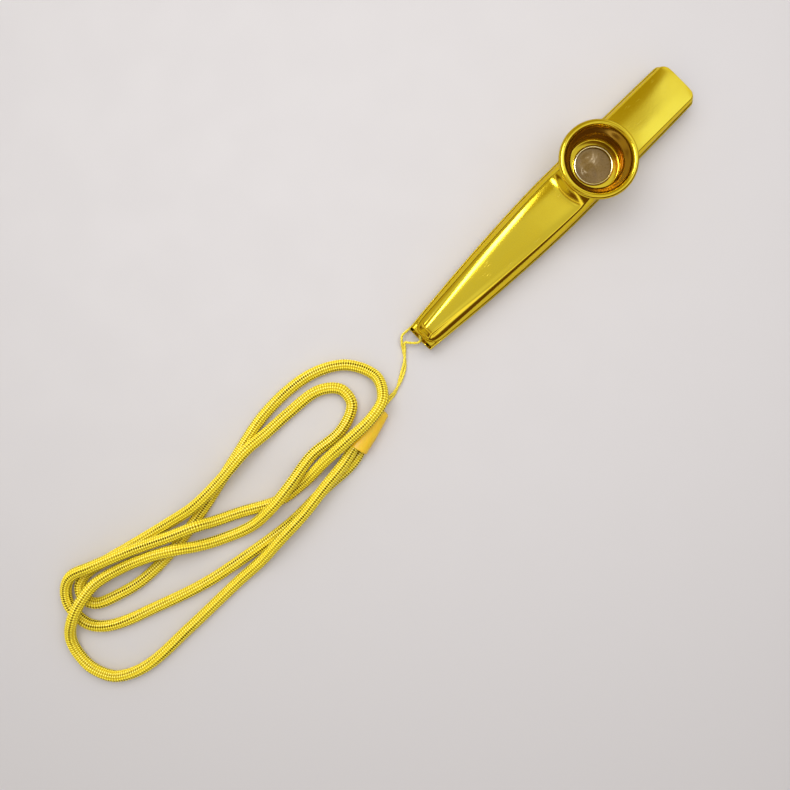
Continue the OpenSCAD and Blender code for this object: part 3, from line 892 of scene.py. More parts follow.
def film_rise(x, y):
    """Height of the film's folds at a place, fading out towards the cup's floor that clamps it."""
    p = Vector((x, y, 0)) / MM
    rise = SWELL_SHARE * noise.noise(p * SWELL_RATE + SWELL_START)
    for turn, rate, size, start in FOLDS:
        bent = across(p, turn) + WAVY_W * noise.noise(p * WAVY_RATE + Vector((start, 0, 4)))
        rise += size * noise.noise(Vector((bent * rate + start, start, 0.5)))
    fade = falling(math.hypot(x, y), WRINKLED_R, WRINKLE_FADE)
    slack = mix(SLACK_SHARE, 1, ease(0.5 + across(p, SLACK_TURN) / SLACK_W))
    return rise * WRINKLE_H * fade * slack


def make_film():
    middle = (FILM_LOW + FILM_HIGH) / 2
    outwards = spread(0, FILM_R, FILM_RINGS)
    rows = []
    for level, radii in ((FILM_LOW, outwards), (middle, outwards[::-1])):
        for r in radii:
            row = []
            for turn in spread(0, FULL_TURN, FILM_SEGMENTS)[:-1]:
                x, y = r * math.cos(turn), r * math.sin(turn)
                row.append(Vector((CUP_X + x, y, level + film_rise(x, y))))
            rows.append(row)
    return ringed_piece("membrane_film", rows)


# Sleeve: a tapering oval moulding, open where the cord goes in

SLEEVE_WALL = 0.75 * MM
SLEEVE_LIP = 0.35 * MM
SLEEVE_MOUTH_DEPTH = 3.5 * MM
SLEEVE_SWELL = 0.2 * MM
SLEEVE_TIP_R = 1.2 * MM
SLEEVE_SIDES = 72
SLEEVE_STEPS = 30
SLEEVE_MOUTH_STEPS = 6
SLEEVE_ROUND_STEPS = 10
OVAL_POWER = 0.85
SLEEVE_ALONG = Vector((math.cos(SLEEVE_TURN), math.sin(SLEEVE_TURN), 0))
SLEEVE_ACROSS = Vector((-math.sin(SLEEVE_TURN), math.cos(SLEEVE_TURN), 0))
# How far the rows that close the mouth's bottom and the tip are drawn in
BOTTOM_INSETS = [SLEEVE_WALL + inset * MM for inset in (2.4, 1.6, 0.8)]
TIP_INSETS = [1.5 * MM, 1.9 * MM, 2.4 * MM]


def oval(t):
    """A sine or cosine made fuller, for a section between a circle and a rounded square."""
    return math.copysign(abs(t) ** OVAL_POWER, t)


def sleeve_ring(x, inset):
    """A ring of the sleeve at the distance x from its lower end, drawn in by inset on all sides."""
    t = x / SLEEVE_LEN
    height = mix(SLEEVE_H, SLEEVE_TIP_H, t)
    swell = SLEEVE_SWELL * math.sin(math.pi * clamp01(t)) ** 2
    half_w = mix(SLEEVE_W, SLEEVE_TIP_W, t) / 2 + swell - inset
    half_h = height / 2 - inset
    centre = SLEEVE_AT + SLEEVE_ALONG * x + Vector((0, 0, height / 2))
    ring = []
    for a in spread(0, FULL_TURN, SLEEVE_SIDES)[:-1]:
        side = SLEEVE_ACROSS * oval(math.cos(a)) * half_w
        ring.append(centre + side + Vector((0, 0, oval(math.sin(a)) * half_h)))
    return ring


def make_sleeve():
    """The sleeve's rings run from the mouth's bottom out to the lip, along the outside and over the tip."""
    mouth = spread(SLEEVE_MOUTH_DEPTH, 2 * SLEEVE_LIP, SLEEVE_MOUTH_STEPS)
    outside = spread(2 * SLEEVE_LIP, SLEEVE_LEN - SLEEVE_TIP_R, SLEEVE_STEPS)
    rows = [sleeve_ring(SLEEVE_MOUTH_DEPTH, inset) for inset in BOTTOM_INSETS]
    rows += [sleeve_ring(x, SLEEVE_WALL) for x in mouth]
    for a in spread(0, math.pi, SLEEVE_ROUND_STEPS):
        inset = mix(SLEEVE_WALL, 0, (1 - math.cos(a)) / 2)
        rows.append(sleeve_ring(SLEEVE_LIP * (1 - math.sin(a)), inset))
    rows += [sleeve_ring(x, 0) for x in outside]
    for a in angles(SLEEVE_ROUND_STEPS)[1:]:
        x = SLEEVE_LEN - SLEEVE_TIP_R * (1 - math.sin(a))
        rows.append(sleeve_ring(x, SLEEVE_TIP_R * (1 - math.cos(a))))
    rows += [sleeve_ring(SLEEVE_LEN, inset) for inset in TIP_INSETS]
    grids = Grids()
    grids.add(rows, closed=True)
    grids.faces.append(tuple(range(SLEEVE_SIDES)))
    grids.faces.append(tuple(len(grids.points) - 1 - k for k in range(SLEEVE_SIDES)))
    return grids.piece("sleeve_moulding")


# Nodes: shared by the trees that lay yarn and by the materials


def add_node(tree, kind, settings=None, **inputs):
    """A node with its settings, and its inputs by name or, where names are equal, by place as _0, _1."""
    node = tree.nodes.new(kind)
    for key, value in (settings or {}).items():
        setattr(node, key, value)
    for key, value in inputs.items():
        socket = node.inputs[int(key[1:])] if key[0] == "_" else node.inputs[key.replace("_", " ")]
        give(tree, socket, value)
    return node


def give(tree, socket, value):
    """Sets a socket to a value, or links it to another node's output."""
    if isinstance(value, bpy.types.NodeSocket):
        tree.links.new(value, socket)
    else:
        socket.default_value = value


def calc(tree, operation, *values):
    """The result of a Math node."""
    node = tree.nodes.new("ShaderNodeMath")
    node.operation = operation
    for socket, value in zip(node.inputs, values):
        give(tree, socket, value)
    return node.outputs[0]


def times(tree, first, second):
    return calc(tree, "MULTIPLY", first, second)


def ramp(tree, value, start, end, low=0.0, high=1.0):
    """A soft step of a value from start to end. start may be the larger."""
    return add_node(tree, "ShaderNodeMapRange", {"interpolation_type": "SMOOTHSTEP"}, Value=value,
                    From_Min=start, From_Max=end, To_Min=low, To_Max=high).outputs["Result"]


def new_tree(kind, name, inputs, outputs):
    """A node tree with named sockets: label, type and, for an input, its default."""
    tree = bpy.data.node_groups.new(name, kind)
    for label, socket_type, default in inputs:
        socket = tree.interface.new_socket(label, in_out="INPUT", socket_type=socket_type)
        if default is not None:
            socket.default_value = default
    for label, socket_type in outputs:
        tree.interface.new_socket(label, in_out="OUTPUT", socket_type=socket_type)
    return tree, tree.nodes.new("NodeGroupInput").outputs, tree.nodes.new("NodeGroupOutput").inputs


GEOMETRY = "NodeSocketGeometry"
NUMBER = "NodeSocketFloat"
COUNT = "NodeSocketInt"
VECTOR = "NodeSocketVector"
MATERIAL = "NodeSocketMaterial"


# Yarn: a round section swept along a route, with its stitches or plies raised on it


def stored(tree, name):
    return add_node(tree, "GeometryNodeInputNamedAttribute", Name=name).outputs["Attribute"]


def store(tree, geometry, name, value, kind="FLOAT"):
    return add_node(tree, "GeometryNodeStoreNamedAttribute", {"data_type": kind}, Geometry=geometry,
                    Name=name, Value=value).outputs[0]


def swept(tree, given):
    """The swept section, with its place along and round the route stored on every point."""
    line = add_node(tree, "GeometryNodeMeshToCurve", Mesh=given["Geometry"])
    even = add_node(tree, "GeometryNodeResampleCurve", {"mode": "LENGTH"}, Curve=line.outputs[0],
                    Length=given["Step"])
    tilted = add_node(tree, "GeometryNodeSetCurveTilt", Curve=even.outputs[0],
                      Tilt=times(tree, stored(tree, "turn"), FULL_TURN))
    place = add_node(tree, "GeometryNodeSplineParameter").outputs
    route = store(tree, tilted.outputs[0], "along", place["Length"])
    radius = times(tree, given["Diameter"], 0.5)
    circle = add_node(tree, "GeometryNodeCurvePrimitiveCircle", Resolution=given["Sides"], Radius=radius)
    section = store(tree, circle.outputs[0], "around", place["Factor"])
    angle = times(tree, place["Factor"], FULL_TURN)
    unit = add_node(tree, "ShaderNodeCombineXYZ", X=calc(tree, "COSINE", angle), Y=calc(tree, "SINE", angle))
    section = store(tree, section, "section", unit.outputs[0], "FLOAT_VECTOR")
    tube = add_node(tree, "GeometryNodeCurveToMesh", Curve=route, Profile_Curve=section, Fill_Caps=True)
    return tube.outputs[0], radius


def raised(tree, given, tube, height, result):
    """Moves the tube's surface out by a height, and gives it its material."""
    normal = add_node(tree, "GeometryNodeInputNormal").outputs[0]
    push = add_node(tree, "ShaderNodeVectorMath", {"operation": "SCALE"}, _0=normal, Scale=height)
    moved = add_node(tree, "GeometryNodeSetPosition", Geometry=tube, Offset=push.outputs[0])
    smooth = add_node(tree, "GeometryNodeSetShadeSmooth", Geometry=moved.outputs[0])
    real = add_node(tree, "GeometryNodeRealizeInstances", Geometry=smooth.outputs[0])
    finish = add_node(tree, "GeometryNodeSetMaterial", Geometry=real.outputs[0], Material=given["Finish"])
    tree.links.new(finish.outputs[0], result[0])


def bulge(tree, edge):
    """The round height of a wale or a ply, from 0 at its edge to 1 at its crest."""
    return calc(tree, "SINE", times(tree, edge, math.pi))


def sunk(tree, share, depth):
    """A height from minus depth where the share is 0 up to nothing where it is 1."""
    return times(tree, calc(tree, "SUBTRACT", share, 1.0), depth)


def stitch_pattern(tree, along, around, wales, pitch, slant):
    """The lane round the cord, the distance from its wale's edge, and the stitches' wave from 0 to 1."""
    lane = times(tree, around, wales)
    edge = calc(tree, "PINGPONG", lane, 0.5)
    phase = calc(tree, "MULTIPLY_ADD", edge, slant, calc(tree, "DIVIDE", along, pitch))
    wave = calc(tree, "COSINE", times(tree, phase, FULL_TURN))
    return lane, edge, calc(tree, "MULTIPLY_ADD", wave, -0.5, 0.5)


def ply_edge(tree, around, plies):
    """The distance from a ply's edge, up to 0.5 at its crest."""
    return calc(tree, "PINGPONG", times(tree, around, plies), 0.5)


def yarn_tree(name, diameter, sides, step, sizes):
    """A tree with named inputs for a yarn piece's sizes: the tree, its inputs and its result."""
    inputs = [("Geometry", GEOMETRY, None), ("Diameter", NUMBER, diameter), ("Sides", COUNT, sides),
              ("Step", NUMBER, step), ("Finish", MATERIAL, None)]
    inputs += [(label, NUMBER, value) for label, value in sizes.items()]
    return new_tree("GeometryNodeTree", name, inputs, [("Geometry", GEOMETRY)])


def braid_tree():
    sizes = {"Stitch": STITCH, "Groove": WALE_GROOVE, "Rib": STITCH_RIB, "Wales": WALES,
             "Slant": STITCH_SLANT}
    tree, given, result = yarn_tree("braided_cord", CORD_D, CORD_SIDES, CORD_STEP, sizes)
    tube, radius = swept(tree, given)
    _, edge, wave = stitch_pattern(tree, stored(tree, "along"), stored(tree, "around"), given["Wales"],
                                   given["Stitch"], given["Slant"])
    groove = sunk(tree, bulge(tree, edge), given["Groove"])
    rib = sunk(tree, wave, given["Rib"])
    squeeze = sunk(tree, stored(tree, "full"), radius)
    raised(tree, given, tube, calc(tree, "ADD", calc(tree, "ADD", groove, rib), squeeze), result)
    return tree


def string_tree():
    sizes = {"Plies": STRING_PLIES, "Depth": PLY_DEPTH}
    tree, given, result = yarn_tree("twisted_string", STRING_D, STRING_SIDES, STRING_STEP, sizes)
    tube, _ = swept(tree, given)
    ply = ply_edge(tree, stored(tree, "around"), given["Plies"])
    raised(tree, given, tube, sunk(tree, bulge(tree, ply), given["Depth"]), result)
    return tree


def laid_piece(name, path, tree, material, attributes):
    """A piece made by a tree along a path. attributes are numbers along the path that the tree reads."""
    mesh = bpy.data.meshes.new(name)
    mesh.from_pydata(path, [(i, i + 1) for i in range(len(path) - 1)], [])
    for label, numbers in attributes.items():
        store_numbers(mesh, label, numbers)
    piece = new_object(name, mesh)
    modifier = piece.modifiers.new(tree.name, "NODES")
    modifier.node_group = tree
    for item in tree.interface.items_tree:
        if item.in_out == "INPUT" and item.name == "Finish":
            modifier[item.identifier] = material
    return applied(piece)


def run_lengths(path):
    """Length of a path from its start to each of its points."""
    run = [0]
    for a, b in zip(path, path[1:]):
        run.append(run[-1] + (b - a).length)
    return run


STITCH = 0.78 * MM
WALE_GROOVE = 0.24 * MM
STITCH_RIB = 0.15 * MM
WALES = 10
STITCH_SLANT = 0.2
CORD_SIDES = 3 * WALES
CORD_STEP = STITCH / 3
CORD_PATH_STEP = 0.8 * MM
CORD_START = SLEEVE_ALONG * 2.6 * MM + Vector((0, 0.3, 0.1)) * MM
CORD_END = SLEEVE_ALONG * 2.9 * MM + Vector((0, -0.2, -0.1)) * MM
SQUEEZED = 0.8
SQUEEZE_LEN = 6 * MM
# Slow turning of the braid along the cord: turns, length over 2 pi, and start
TWISTS = [(0.05, 31 * MM, 0.0), (0.09, 83 * MM, 1.0)]

STRING_PLIES = 2
PLY_LAY = 2.8 * MM
PLY_DEPTH = 0.08 * MM
STRING_SIDES = 18
STRING_STEP = 0.12 * MM
STRING_PATH_STEP = 0.3 * MM
STRING_EASING = 5
PAIR_HALF = 0.45 * MM
PAIR_LAY = 21 * MM
PAIR_LOW = 0.95 * MM
PAIR_LEAD = 1.5 * MM
PAIR_COUNT = 7


def make_cord(material):
    """The braid and its path. Both ends lie inside the sleeve, where they are squeezed."""
    route = [Vector(p) for p in CORD_ROUTE]
    route = [route[0] + CORD_START] + route + [route[-1] + CORD_END]
    path = smooth_route(route, CORD_PATH_STEP)
    run = run_lengths(path)
    turn = [sum(size * math.sin(at / reach + start) for size, reach, start in TWISTS) for at in run]
    full = [mix(SQUEEZED, 1, ease(min(at, run[-1] - at) / SQUEEZE_LEN)) for at in run]
    return laid_piece("neck_cord_braid", path, braid_tree(), material, {"turn": turn, "full": full}), path


def paired_route():
    """The string's route, with its two legs between the sleeve and the kazoo laid round each other."""
    route = [Vector(p) for p in STRING_ROUTE]
    last = len(route) - 1
    middles = [(route[i] + route[last - i]) / 2 for i in range(PAIR_COUNT)]
    middles.insert(0, middles[0] - SLEEVE_ALONG * PAIR_LEAD)
    axis = smooth_route(middles, STRING_PATH_STEP)
    run = run_lengths(axis)
    legs = ([], [])
    for k, (p, at) in enumerate(zip(axis, run)):
        ahead = axis[min(k + 1, len(axis) - 1)] - axis[max(k - 1, 0)]
        side = Vector((-ahead.y, ahead.x, 0)).normalized()
        turn = FULL_TURN * (at - run[-1]) / PAIR_LAY
        spin = (side * math.cos(turn) + Vector((0, 0, math.sin(turn)))) * PAIR_HALF
        centre = Vector((p.x, p.y, max(p.z, PAIR_LOW)))
        legs[0].append(centre + spin)
        legs[1].append(centre - spin)
    loop = route[PAIR_COUNT:last - PAIR_COUNT + 1]
    return legs[0], loop, legs[1][::-1]


def eased_path(path, passes):
    """The path with its corners rounded, each point drawn towards its neighbours."""
    for _ in range(passes):
        inner = [(a + 2 * b + c) / 4 for a, b, c in zip(path, path[1:], path[2:])]
        path = [path[0]] + inner + [path[-1]]
    return path


def make_string(material):
    first, loop, second = paired_route()
    path = first[:-1] + smooth_route([first[-1]] + loop + [second[0]], STRING_PATH_STEP) + second[1:]
    path = eased_path(path, STRING_EASING)
    turn = [at / PLY_LAY for at in run_lengths(path)]
    return laid_piece("string_twist", path, string_tree(), material, {"turn": turn}), path


# Surface effects that several materials share

# Ways of the marks: angle, how close they lie along and across, and where the noise starts
MARK_WAYS = [(0.5, 130, 5200, 0.0), (-0.7, 170, 6400, 3.0), (1.9, 150, 7000, 7.0)]
MARK_HEIGHT_RATE = 300
MARK_SPAN = (0.72, 0.8)
PATCH_SPAN = (1.0, 1.16)
CLOUD_RATE = 90.0
CLOUD_SHARE = 0.06


def cloudy(tree, place, scale, detail):
    """Soft noise over the surface, mostly from 0.3 to 0.7."""
    return add_node(tree, "ShaderNodeTexNoise", Vector=place, Scale=scale, Detail=detail).outputs[0]


def marks_group():
    """Fine straight marks of handling in three directions, sparse and in patches."""
    tree, given, result = new_tree("ShaderNodeTree", "handling_marks", [
        ("Position", VECTOR, None),
        ("Density", NUMBER, 0.5),
    ], [("Marks", NUMBER), ("Cloud", NUMBER)])
    total = 0.0
    for turn, length, width, start in MARK_WAYS:
        turned_at = add_node(tree, "ShaderNodeMapping", Vector=given["Position"], Location=(start, start, 0),
                             Rotation=(0, 0, turn), Scale=(length, width, MARK_HEIGHT_RATE))
        streak = ramp(tree, cloudy(tree, turned_at.outputs[0], scale=1.0, detail=1.0), *MARK_SPAN)
        total = calc(tree, "MAXIMUM", total, streak)
    cloud = cloudy(tree, given["Position"], CLOUD_RATE, detail=3.0)
    patch = ramp(tree, calc(tree, "ADD", cloud, given["Density"]), *PATCH_SPAN)
    give(tree, result["Marks"], times(tree, total, patch))
    give(tree, result["Cloud"], cloud)
    return tree


def grain_group():
    """Fine uneven grain, and the broad clouds in which it varies."""
    tree, given, result = new_tree("ShaderNodeTree", "fine_grain", [
        ("Position", VECTOR, None),
        ("Scale", NUMBER, 3000.0),
    ], [("Grain", NUMBER), ("Cloud", NUMBER)])
    clouds = times(tree, given["Scale"], CLOUD_SHARE)
    give(tree, result["Grain"], cloudy(tree, given["Position"], given["Scale"], detail=3.0))
    give(tree, result["Cloud"], cloudy(tree, given["Position"], clouds, detail=2.0))
    return tree


HANDLING_MARKS = marks_group()
FINE_GRAIN = grain_group()


# Materials. Colours are linear red, green and blue

GOLD = (0.82, 0.63, 0.035)
GOLD_DEEP = (0.79, 0.59, 0.028)
# Painted shade inside the cup: a softer and a deeper step
GOLD_SOFT_SHADE = (0.44, 0.255, 0.028)
GOLD_SHADE = (0.25, 0.125, 0.012)
# Rougher cut edge and cup floor, darkened as painted shade
GOLD_DULL_SHADE = (0.60, 0.48, 0.035)
# Painted highlight on the crest of the cup's bead
GOLD_CREST_HIGHLIGHT = (0.95, 0.86, 0.5)
GOLD_WORN = (0.92, 0.82, 0.30)
SHEET_TINT = (0.95, 0.8, 0.2)
SPUN_TINT = (0.4, 0.26, 0.08)
FILM_DARK = (0.165, 0.098, 0.026)
FILM_PALE = (0.25, 0.158, 0.05)
CARD_DARK = (0.26, 0.18, 0.09)
CARD_PALE = (0.42, 0.31, 0.18)
SLEEVE_DEEP = (0.82, 0.50, 0.010)
SLEEVE_PALE = (0.88, 0.57, 0.022)
SLEEVE_GLOW = (0.8, 0.45, 0.1)
YARN = (0.97, 0.82, 0.045)
# Darker yarn: painted shade in the braid's grooves and valleys, and the string's fibre tone
YARN_DEEP_AND_SHADE = (0.60, 0.35, 0.003)
YARN_SHADE = (0.50, 0.30, 0.003)
# Painted shade in the braid's holes
YARN_HOLE_SHADE = (0.06, 0.025, 0.001)
YARN_TINT = (1.0, 0.85, 0.3, 1)
FLOOR_DEEP = (0.64, 0.603, 0.585)
FLOOR_PALE = (0.65, 0.613, 0.595)
FILM_TINT = (1.0, 0.85, 0.6, 1)
NOISE_SPAN = (0.3, 0.7)
FILM_SPAN = (0.35, 0.65)
FINE_BUMP = 0.02 * MM
# The inputs of a colour mix and its output, by their places in the node
MIX_FIRST, MIX_SECOND, MIX_RESULT = 6, 7, 2

# Gold: how far its marks are worn, how its roughness varies, what each mask adds, and the marks' height
WORN_SHARE = 0.3
ROUGH_SHARES = (0.85, 1.2)
DULL_ROUGH = 0.4
INSIDE_ROUGH = 0.22
MARK_ROUGH = 0.25
MARK_RISE = -0.2

# Braid: where each effect sets in, by the distance from a wale's edge and by the stitches' wave
# The gap, valley and deep effects set where painted shade falls: the holes, the valleys between ribs and the
# wales' edges
GAP_EDGE = (0.36, 0.16)
GAP_WAVE = (0.9, 0.45)
VALLEY_WAVE = (0.65, 0.1)
VALLEY_SHARE = 0.75
DEEP_EDGE = (0.3, 0.05)
DEEP_SHARE = 0.65
CREST_EDGE = (0.1, 0.4)
CREST_WAVE = (0.2, 0.8)
BRAID_ROUGH = (0.55, 0.3)
RIB_RISE = 0.6
HOLE_RISE = -0.8
BRAID_BUMP = 0.3 * MM
# How the holes open along the cord and from row to row, and the least share that stays open
OPEN_RATE = 45.0
OPEN_ROW_STEP = 3.7
OPEN_SPAN = (0.38, 0.58)
OPEN_LEAST = 0.4
OPEN_ROW_LEAST = 0.2

# String: its fibres, and the shade between its plies
FIBRE_LAY = 0.3 * MM
FIBRE_SLANT = 20.0
FIBRE_SHARE = 0.5
FIBRE_BUMP = 0.04 * MM
STRING_ROUGH = (0.42, 0.58)
PLY_SHADE_EDGE = (0.15, 0.0)
PLY_SHADE_SHARE = 0.6


def new_material(name, **shader):
    """A material with its Principled shader set: its tree, the shader's inputs and object coordinates."""
    material = bpy.data.materials.new(name)
    material.use_nodes = True
    tree = material.node_tree
    principled = tree.nodes["Principled BSDF"]
    for key, value in shader.items():
        principled.inputs[key.replace("_", " ")].default_value = value
    place = tree.nodes.new("ShaderNodeTexCoord").outputs["Object"]
    return material, tree, principled.inputs, place


def mixed(tree, factor, first, second):
    """A colour between two, each given as red, green and blue or as an output."""
    node = tree.nodes.new("ShaderNodeMix")
    node.data_type = "RGBA"
    give(tree, node.inputs["Factor"], factor)
    for place, colour in ((MIX_FIRST, first), (MIX_SECOND, second)):
        value = colour if isinstance(colour, bpy.types.NodeSocket) else (*colour, 1)
        give(tree, node.inputs[place], value)
    return node.outputs[MIX_RESULT]


def effect(tree, group, **inputs):
    return add_node(tree, "ShaderNodeGroup", {"node_tree": group}, **inputs).outputs


def bumped(tree, shader, height, distance):
    bump = add_node(tree, "ShaderNodeBump", Height=height, Distance=distance, Strength=1.0)
    give(tree, shader["Normal"], bump.outputs[0])


def roughened(tree, shader, noise_at, low, high):
    """Roughness that varies from low to high with soft noise."""
    give(tree, shader["Roughness"], ramp(tree, noise_at, *NOISE_SPAN, low, high))


def stored_mask(tree, name):
    return add_node(tree, "ShaderNodeAttribute", {"attribute_name": name}).outputs["Fac"]


def gold_metal(name, density, roughness, peel, coat, tint):
    """Gold-anodised aluminium: a glossy clear layer over metal with faint peel, clouds and handling marks."""
    material, tree, shader, place = new_material(name, Metallic=1.0, Specular_Tint=(*tint, 1),
                                                 Coat_Weight=coat, Coat_Roughness=0.05, Coat_IOR=1.5)
    marks = effect(tree, HANDLING_MARKS, Position=place, Density=density)
    grain = effect(tree, FINE_GRAIN, Position=place, Scale=1500.0)
    inside, dull = stored_mask(tree, "inside"), stored_mask(tree, "dull")
    colour = mixed(tree, ramp(tree, marks["Cloud"], *NOISE_SPAN), GOLD, GOLD_DEEP)
    colour = mixed(tree, times(tree, marks["Marks"], WORN_SHARE), colour, GOLD_WORN)
    # Painted shade inside the cup: the inside mask darkens the inner wall in two steps
    colour = mixed(tree, ramp(tree, inside, 0.0, 0.5), colour, GOLD_SOFT_SHADE)
    colour = mixed(tree, ramp(tree, inside, 0.5, 1.0), colour, GOLD_SHADE)
    # Painted shade: the lower shell's rougher cut edge and the cup's rougher floor are darkened
    colour = mixed(tree, dull, colour, GOLD_DULL_SHADE)
    # Painted highlight: a pale cream crest on the cup's bead
    give(tree, shader["Base Color"], mixed(tree, stored_mask(tree, "bare"), colour, GOLD_CREST_HIGHLIGHT))
    rough = ramp(tree, marks["Cloud"], *NOISE_SPAN, *(roughness * share for share in ROUGH_SHARES))
    for mask, rise in ((dull, DULL_ROUGH), (inside, INSIDE_ROUGH), (marks["Marks"], MARK_ROUGH)):
        rough = calc(tree, "MULTIPLY_ADD", mask, rise, rough)
    give(tree, shader["Roughness"], rough)
    height = calc(tree, "MULTIPLY_ADD", marks["Marks"], MARK_RISE, times(tree, grain["Grain"], peel))
    bumped(tree, shader, height, FINE_BUMP)
    return material


def film_finish():
    """Waxed tissue: brownish, glossy and faintly fibrous."""
    material, tree, shader, place = new_material("film", Specular_Tint=FILM_TINT)
    grain = effect(tree, FINE_GRAIN, Position=place, Scale=1800.0)
    tone = mixed(tree, ramp(tree, grain["Cloud"], *FILM_SPAN), FILM_DARK, FILM_PALE)
    give(tree, shader["Base Color"], tone)
    roughened(tree, shader, grain["Grain"], 0.24, 0.34)
    bumped(tree, shader, grain["Grain"], FINE_BUMP)
    return material


def card_finish():
    """Matt card."""
    material, tree, shader, place = new_material("card")
    grain = effect(tree, FINE_GRAIN, Position=place, Scale=4000.0)
    give(tree, shader["Base Color"], mixed(tree, grain["Grain"], CARD_DARK, CARD_PALE))
    roughened(tree, shader, grain["Cloud"], 0.75, 0.9)
    bumped(tree, shader, grain["Grain"], 0.05 * MM)
    return material


def sleeve_finish():
    """Satin plastic that lets a little light in."""
    material, tree, shader, place = new_material("sleeve_plastic", Subsurface_Weight=0.25,
                                                 Subsurface_Radius=SLEEVE_GLOW,
                                                 Subsurface_Scale=1.2 * MM)
    grain = effect(tree, FINE_GRAIN, Position=place, Scale=2500.0)
    give(tree, shader["Base Color"], mixed(tree, grain["Cloud"], SLEEVE_DEEP, SLEEVE_PALE))
    roughened(tree, shader, grain["Grain"], 0.36, 0.48)
    bumped(tree, shader, grain["Grain"], 0.03 * MM)
    return material


def laid_place(tree):
    """Place along the yarn in metres and round it in turns, from the piece's attributes."""
    section = add_node(tree, "ShaderNodeAttribute", {"attribute_name": "section"}).outputs["Vector"]
    parts = add_node(tree, "ShaderNodeSeparateXYZ", Vector=section).outputs
    around = calc(tree, "DIVIDE", calc(tree, "ARCTAN2", parts["Y"], parts["X"]), FULL_TURN)
    return stored_mask(tree, "along"), around


def lifted(tree, share, least):
    """A share from 0 to 1 as a number from least to 1."""
    return calc(tree, "MULTIPLY_ADD", share, 1 - least, least)


def open_share(tree, along, row):
    """How far the holes between two wales are open: more between every other pair, and in stretches."""
    spot = add_node(tree, "ShaderNodeCombineXYZ", X=times(tree, along, OPEN_RATE),
                    Y=times(tree, row, OPEN_ROW_STEP))
    stretch = ramp(tree, cloudy(tree, spot.outputs[0], scale=1.0, detail=1.0), *OPEN_SPAN)
    every_other = calc(tree, "PINGPONG", row, 1.0)
    return times(tree, lifted(tree, stretch, OPEN_LEAST), lifted(tree, every_other, OPEN_ROW_LEAST))


def cord_finish():
    """Lustrous braid: ribs across each wale and holes between the wales, with painted shade in the holes, in
    the valleys between the ribs and along the wales' edges.
    """
    material, tree, shader, _ = new_material("cord_yarn", Sheen_Weight=0.1, Sheen_Roughness=0.4,
                                             Sheen_Tint=YARN_TINT, Coat_Roughness=0.28, Coat_IOR=1.7,
                                             Specular_Tint=YARN_TINT, Specular_IOR_Level=0.2)
    along, around = laid_place(tree)
    lane, edge, wave = stitch_pattern(tree, along, around, WALES, STITCH, STITCH_SLANT)
    # Painted shade: near black in the holes, darker in the valleys between ribs and along the wales' edges
    gap = times(tree, ramp(tree, edge, *GAP_EDGE), ramp(tree, wave, *GAP_WAVE))
    hole = times(tree, gap, open_share(tree, along, calc(tree, "ROUND", lane)))
    valley = times(tree, ramp(tree, wave, *VALLEY_WAVE), VALLEY_SHARE)
    deep = calc(tree, "MAXIMUM", valley, ramp(tree, edge, *DEEP_EDGE, 0.0, DEEP_SHARE))
    give(tree, shader["Base Color"], mixed(tree, hole, mixed(tree, deep, YARN, YARN_DEEP_AND_SHADE), YARN_HOLE_SHADE))
    give(tree, shader["Roughness"], ramp(tree, wave, 0.0, 1.0, *BRAID_ROUGH))
    crests = times(tree, ramp(tree, edge, *CREST_EDGE), ramp(tree, wave, *CREST_WAVE))
    give(tree, shader["Coat Weight"], crests)
    rib = calc(tree, "SQRT", wave)
    height = calc(tree, "MULTIPLY_ADD", rib, RIB_RISE, times(tree, hole, HOLE_RISE))
    bumped(tree, shader, times(tree, height, bulge(tree, edge)), BRAID_BUMP)
    return material


def string_finish():
    """Thin twisted yarn: fine fibres that follow its plies."""
    material, tree, shader, _ = new_material("string_yarn", Sheen_Weight=0.3, Sheen_Roughness=0.4)
    along, around = laid_place(tree)
    ply = ply_edge(tree, around, STRING_PLIES)
    phase = calc(tree, "MULTIPLY_ADD", along, FULL_TURN / FIBRE_LAY, times(tree, ply, FIBRE_SLANT))
    fibres = calc(tree, "MULTIPLY_ADD", calc(tree, "SINE", phase), 0.5, 0.5)
    tone = mixed(tree, times(tree, fibres, FIBRE_SHARE), YARN, YARN_DEEP_AND_SHADE)
    shade = ramp(tree, ply, *PLY_SHADE_EDGE, 0.0, PLY_SHADE_SHARE)
    give(tree, shader["Base Color"], mixed(tree, shade, tone, YARN_SHADE))
    give(tree, shader["Roughness"], ramp(tree, fibres, 0.0, 1.0, *STRING_ROUGH))
    bumped(tree, shader, fibres, FIBRE_BUMP)
    return material


def floor_finish():
    """Plain pale paper."""
    material, tree, shader, place = new_material("floor_paper")
    grain = effect(tree, FINE_GRAIN, Position=place, Scale=60.0)
    give(tree, shader["Base Color"], mixed(tree, grain["Cloud"], FLOOR_DEEP, FLOOR_PALE))
    roughened(tree, shader, grain["Grain"], 0.6, 0.7)
    return material


gold_sheet = gold_metal("gold_sheet", density=0.52, roughness=0.13, peel=0.25, coat=0.18,
                        tint=SHEET_TINT)
gold_spun = gold_metal("gold_spun", density=0.42, roughness=0.12, peel=0.2, coat=0.15,
                       tint=SPUN_TINT)
cord_yarn = cord_finish()
string_yarn = string_finish()


def finished(piece, material, body, node):
    """Gives a piece its material, and lets it stand for a node on its body."""
    piece.data.materials.clear()
    piece.data.materials.append(material)
    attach(piece, body)
    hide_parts(node)
    return piece


# Camera

camera_data = bpy.data.cameras.new("camera")
camera_data.sensor_width = SENSOR_WIDTH
camera_data.lens = SENSOR_WIDTH * FOCAL_PIXELS / IMAGE_SIDE
camera_data.clip_start = 0.01
camera = new_object("camera", camera_data)
camera.location = CAMERA_AT
camera.rotation_euler = (0, 0, math.atan2(CAMERA_UP.y, CAMERA_UP.x) - math.pi / 2)
bpy.context.scene.camera = camera

# Lanyard

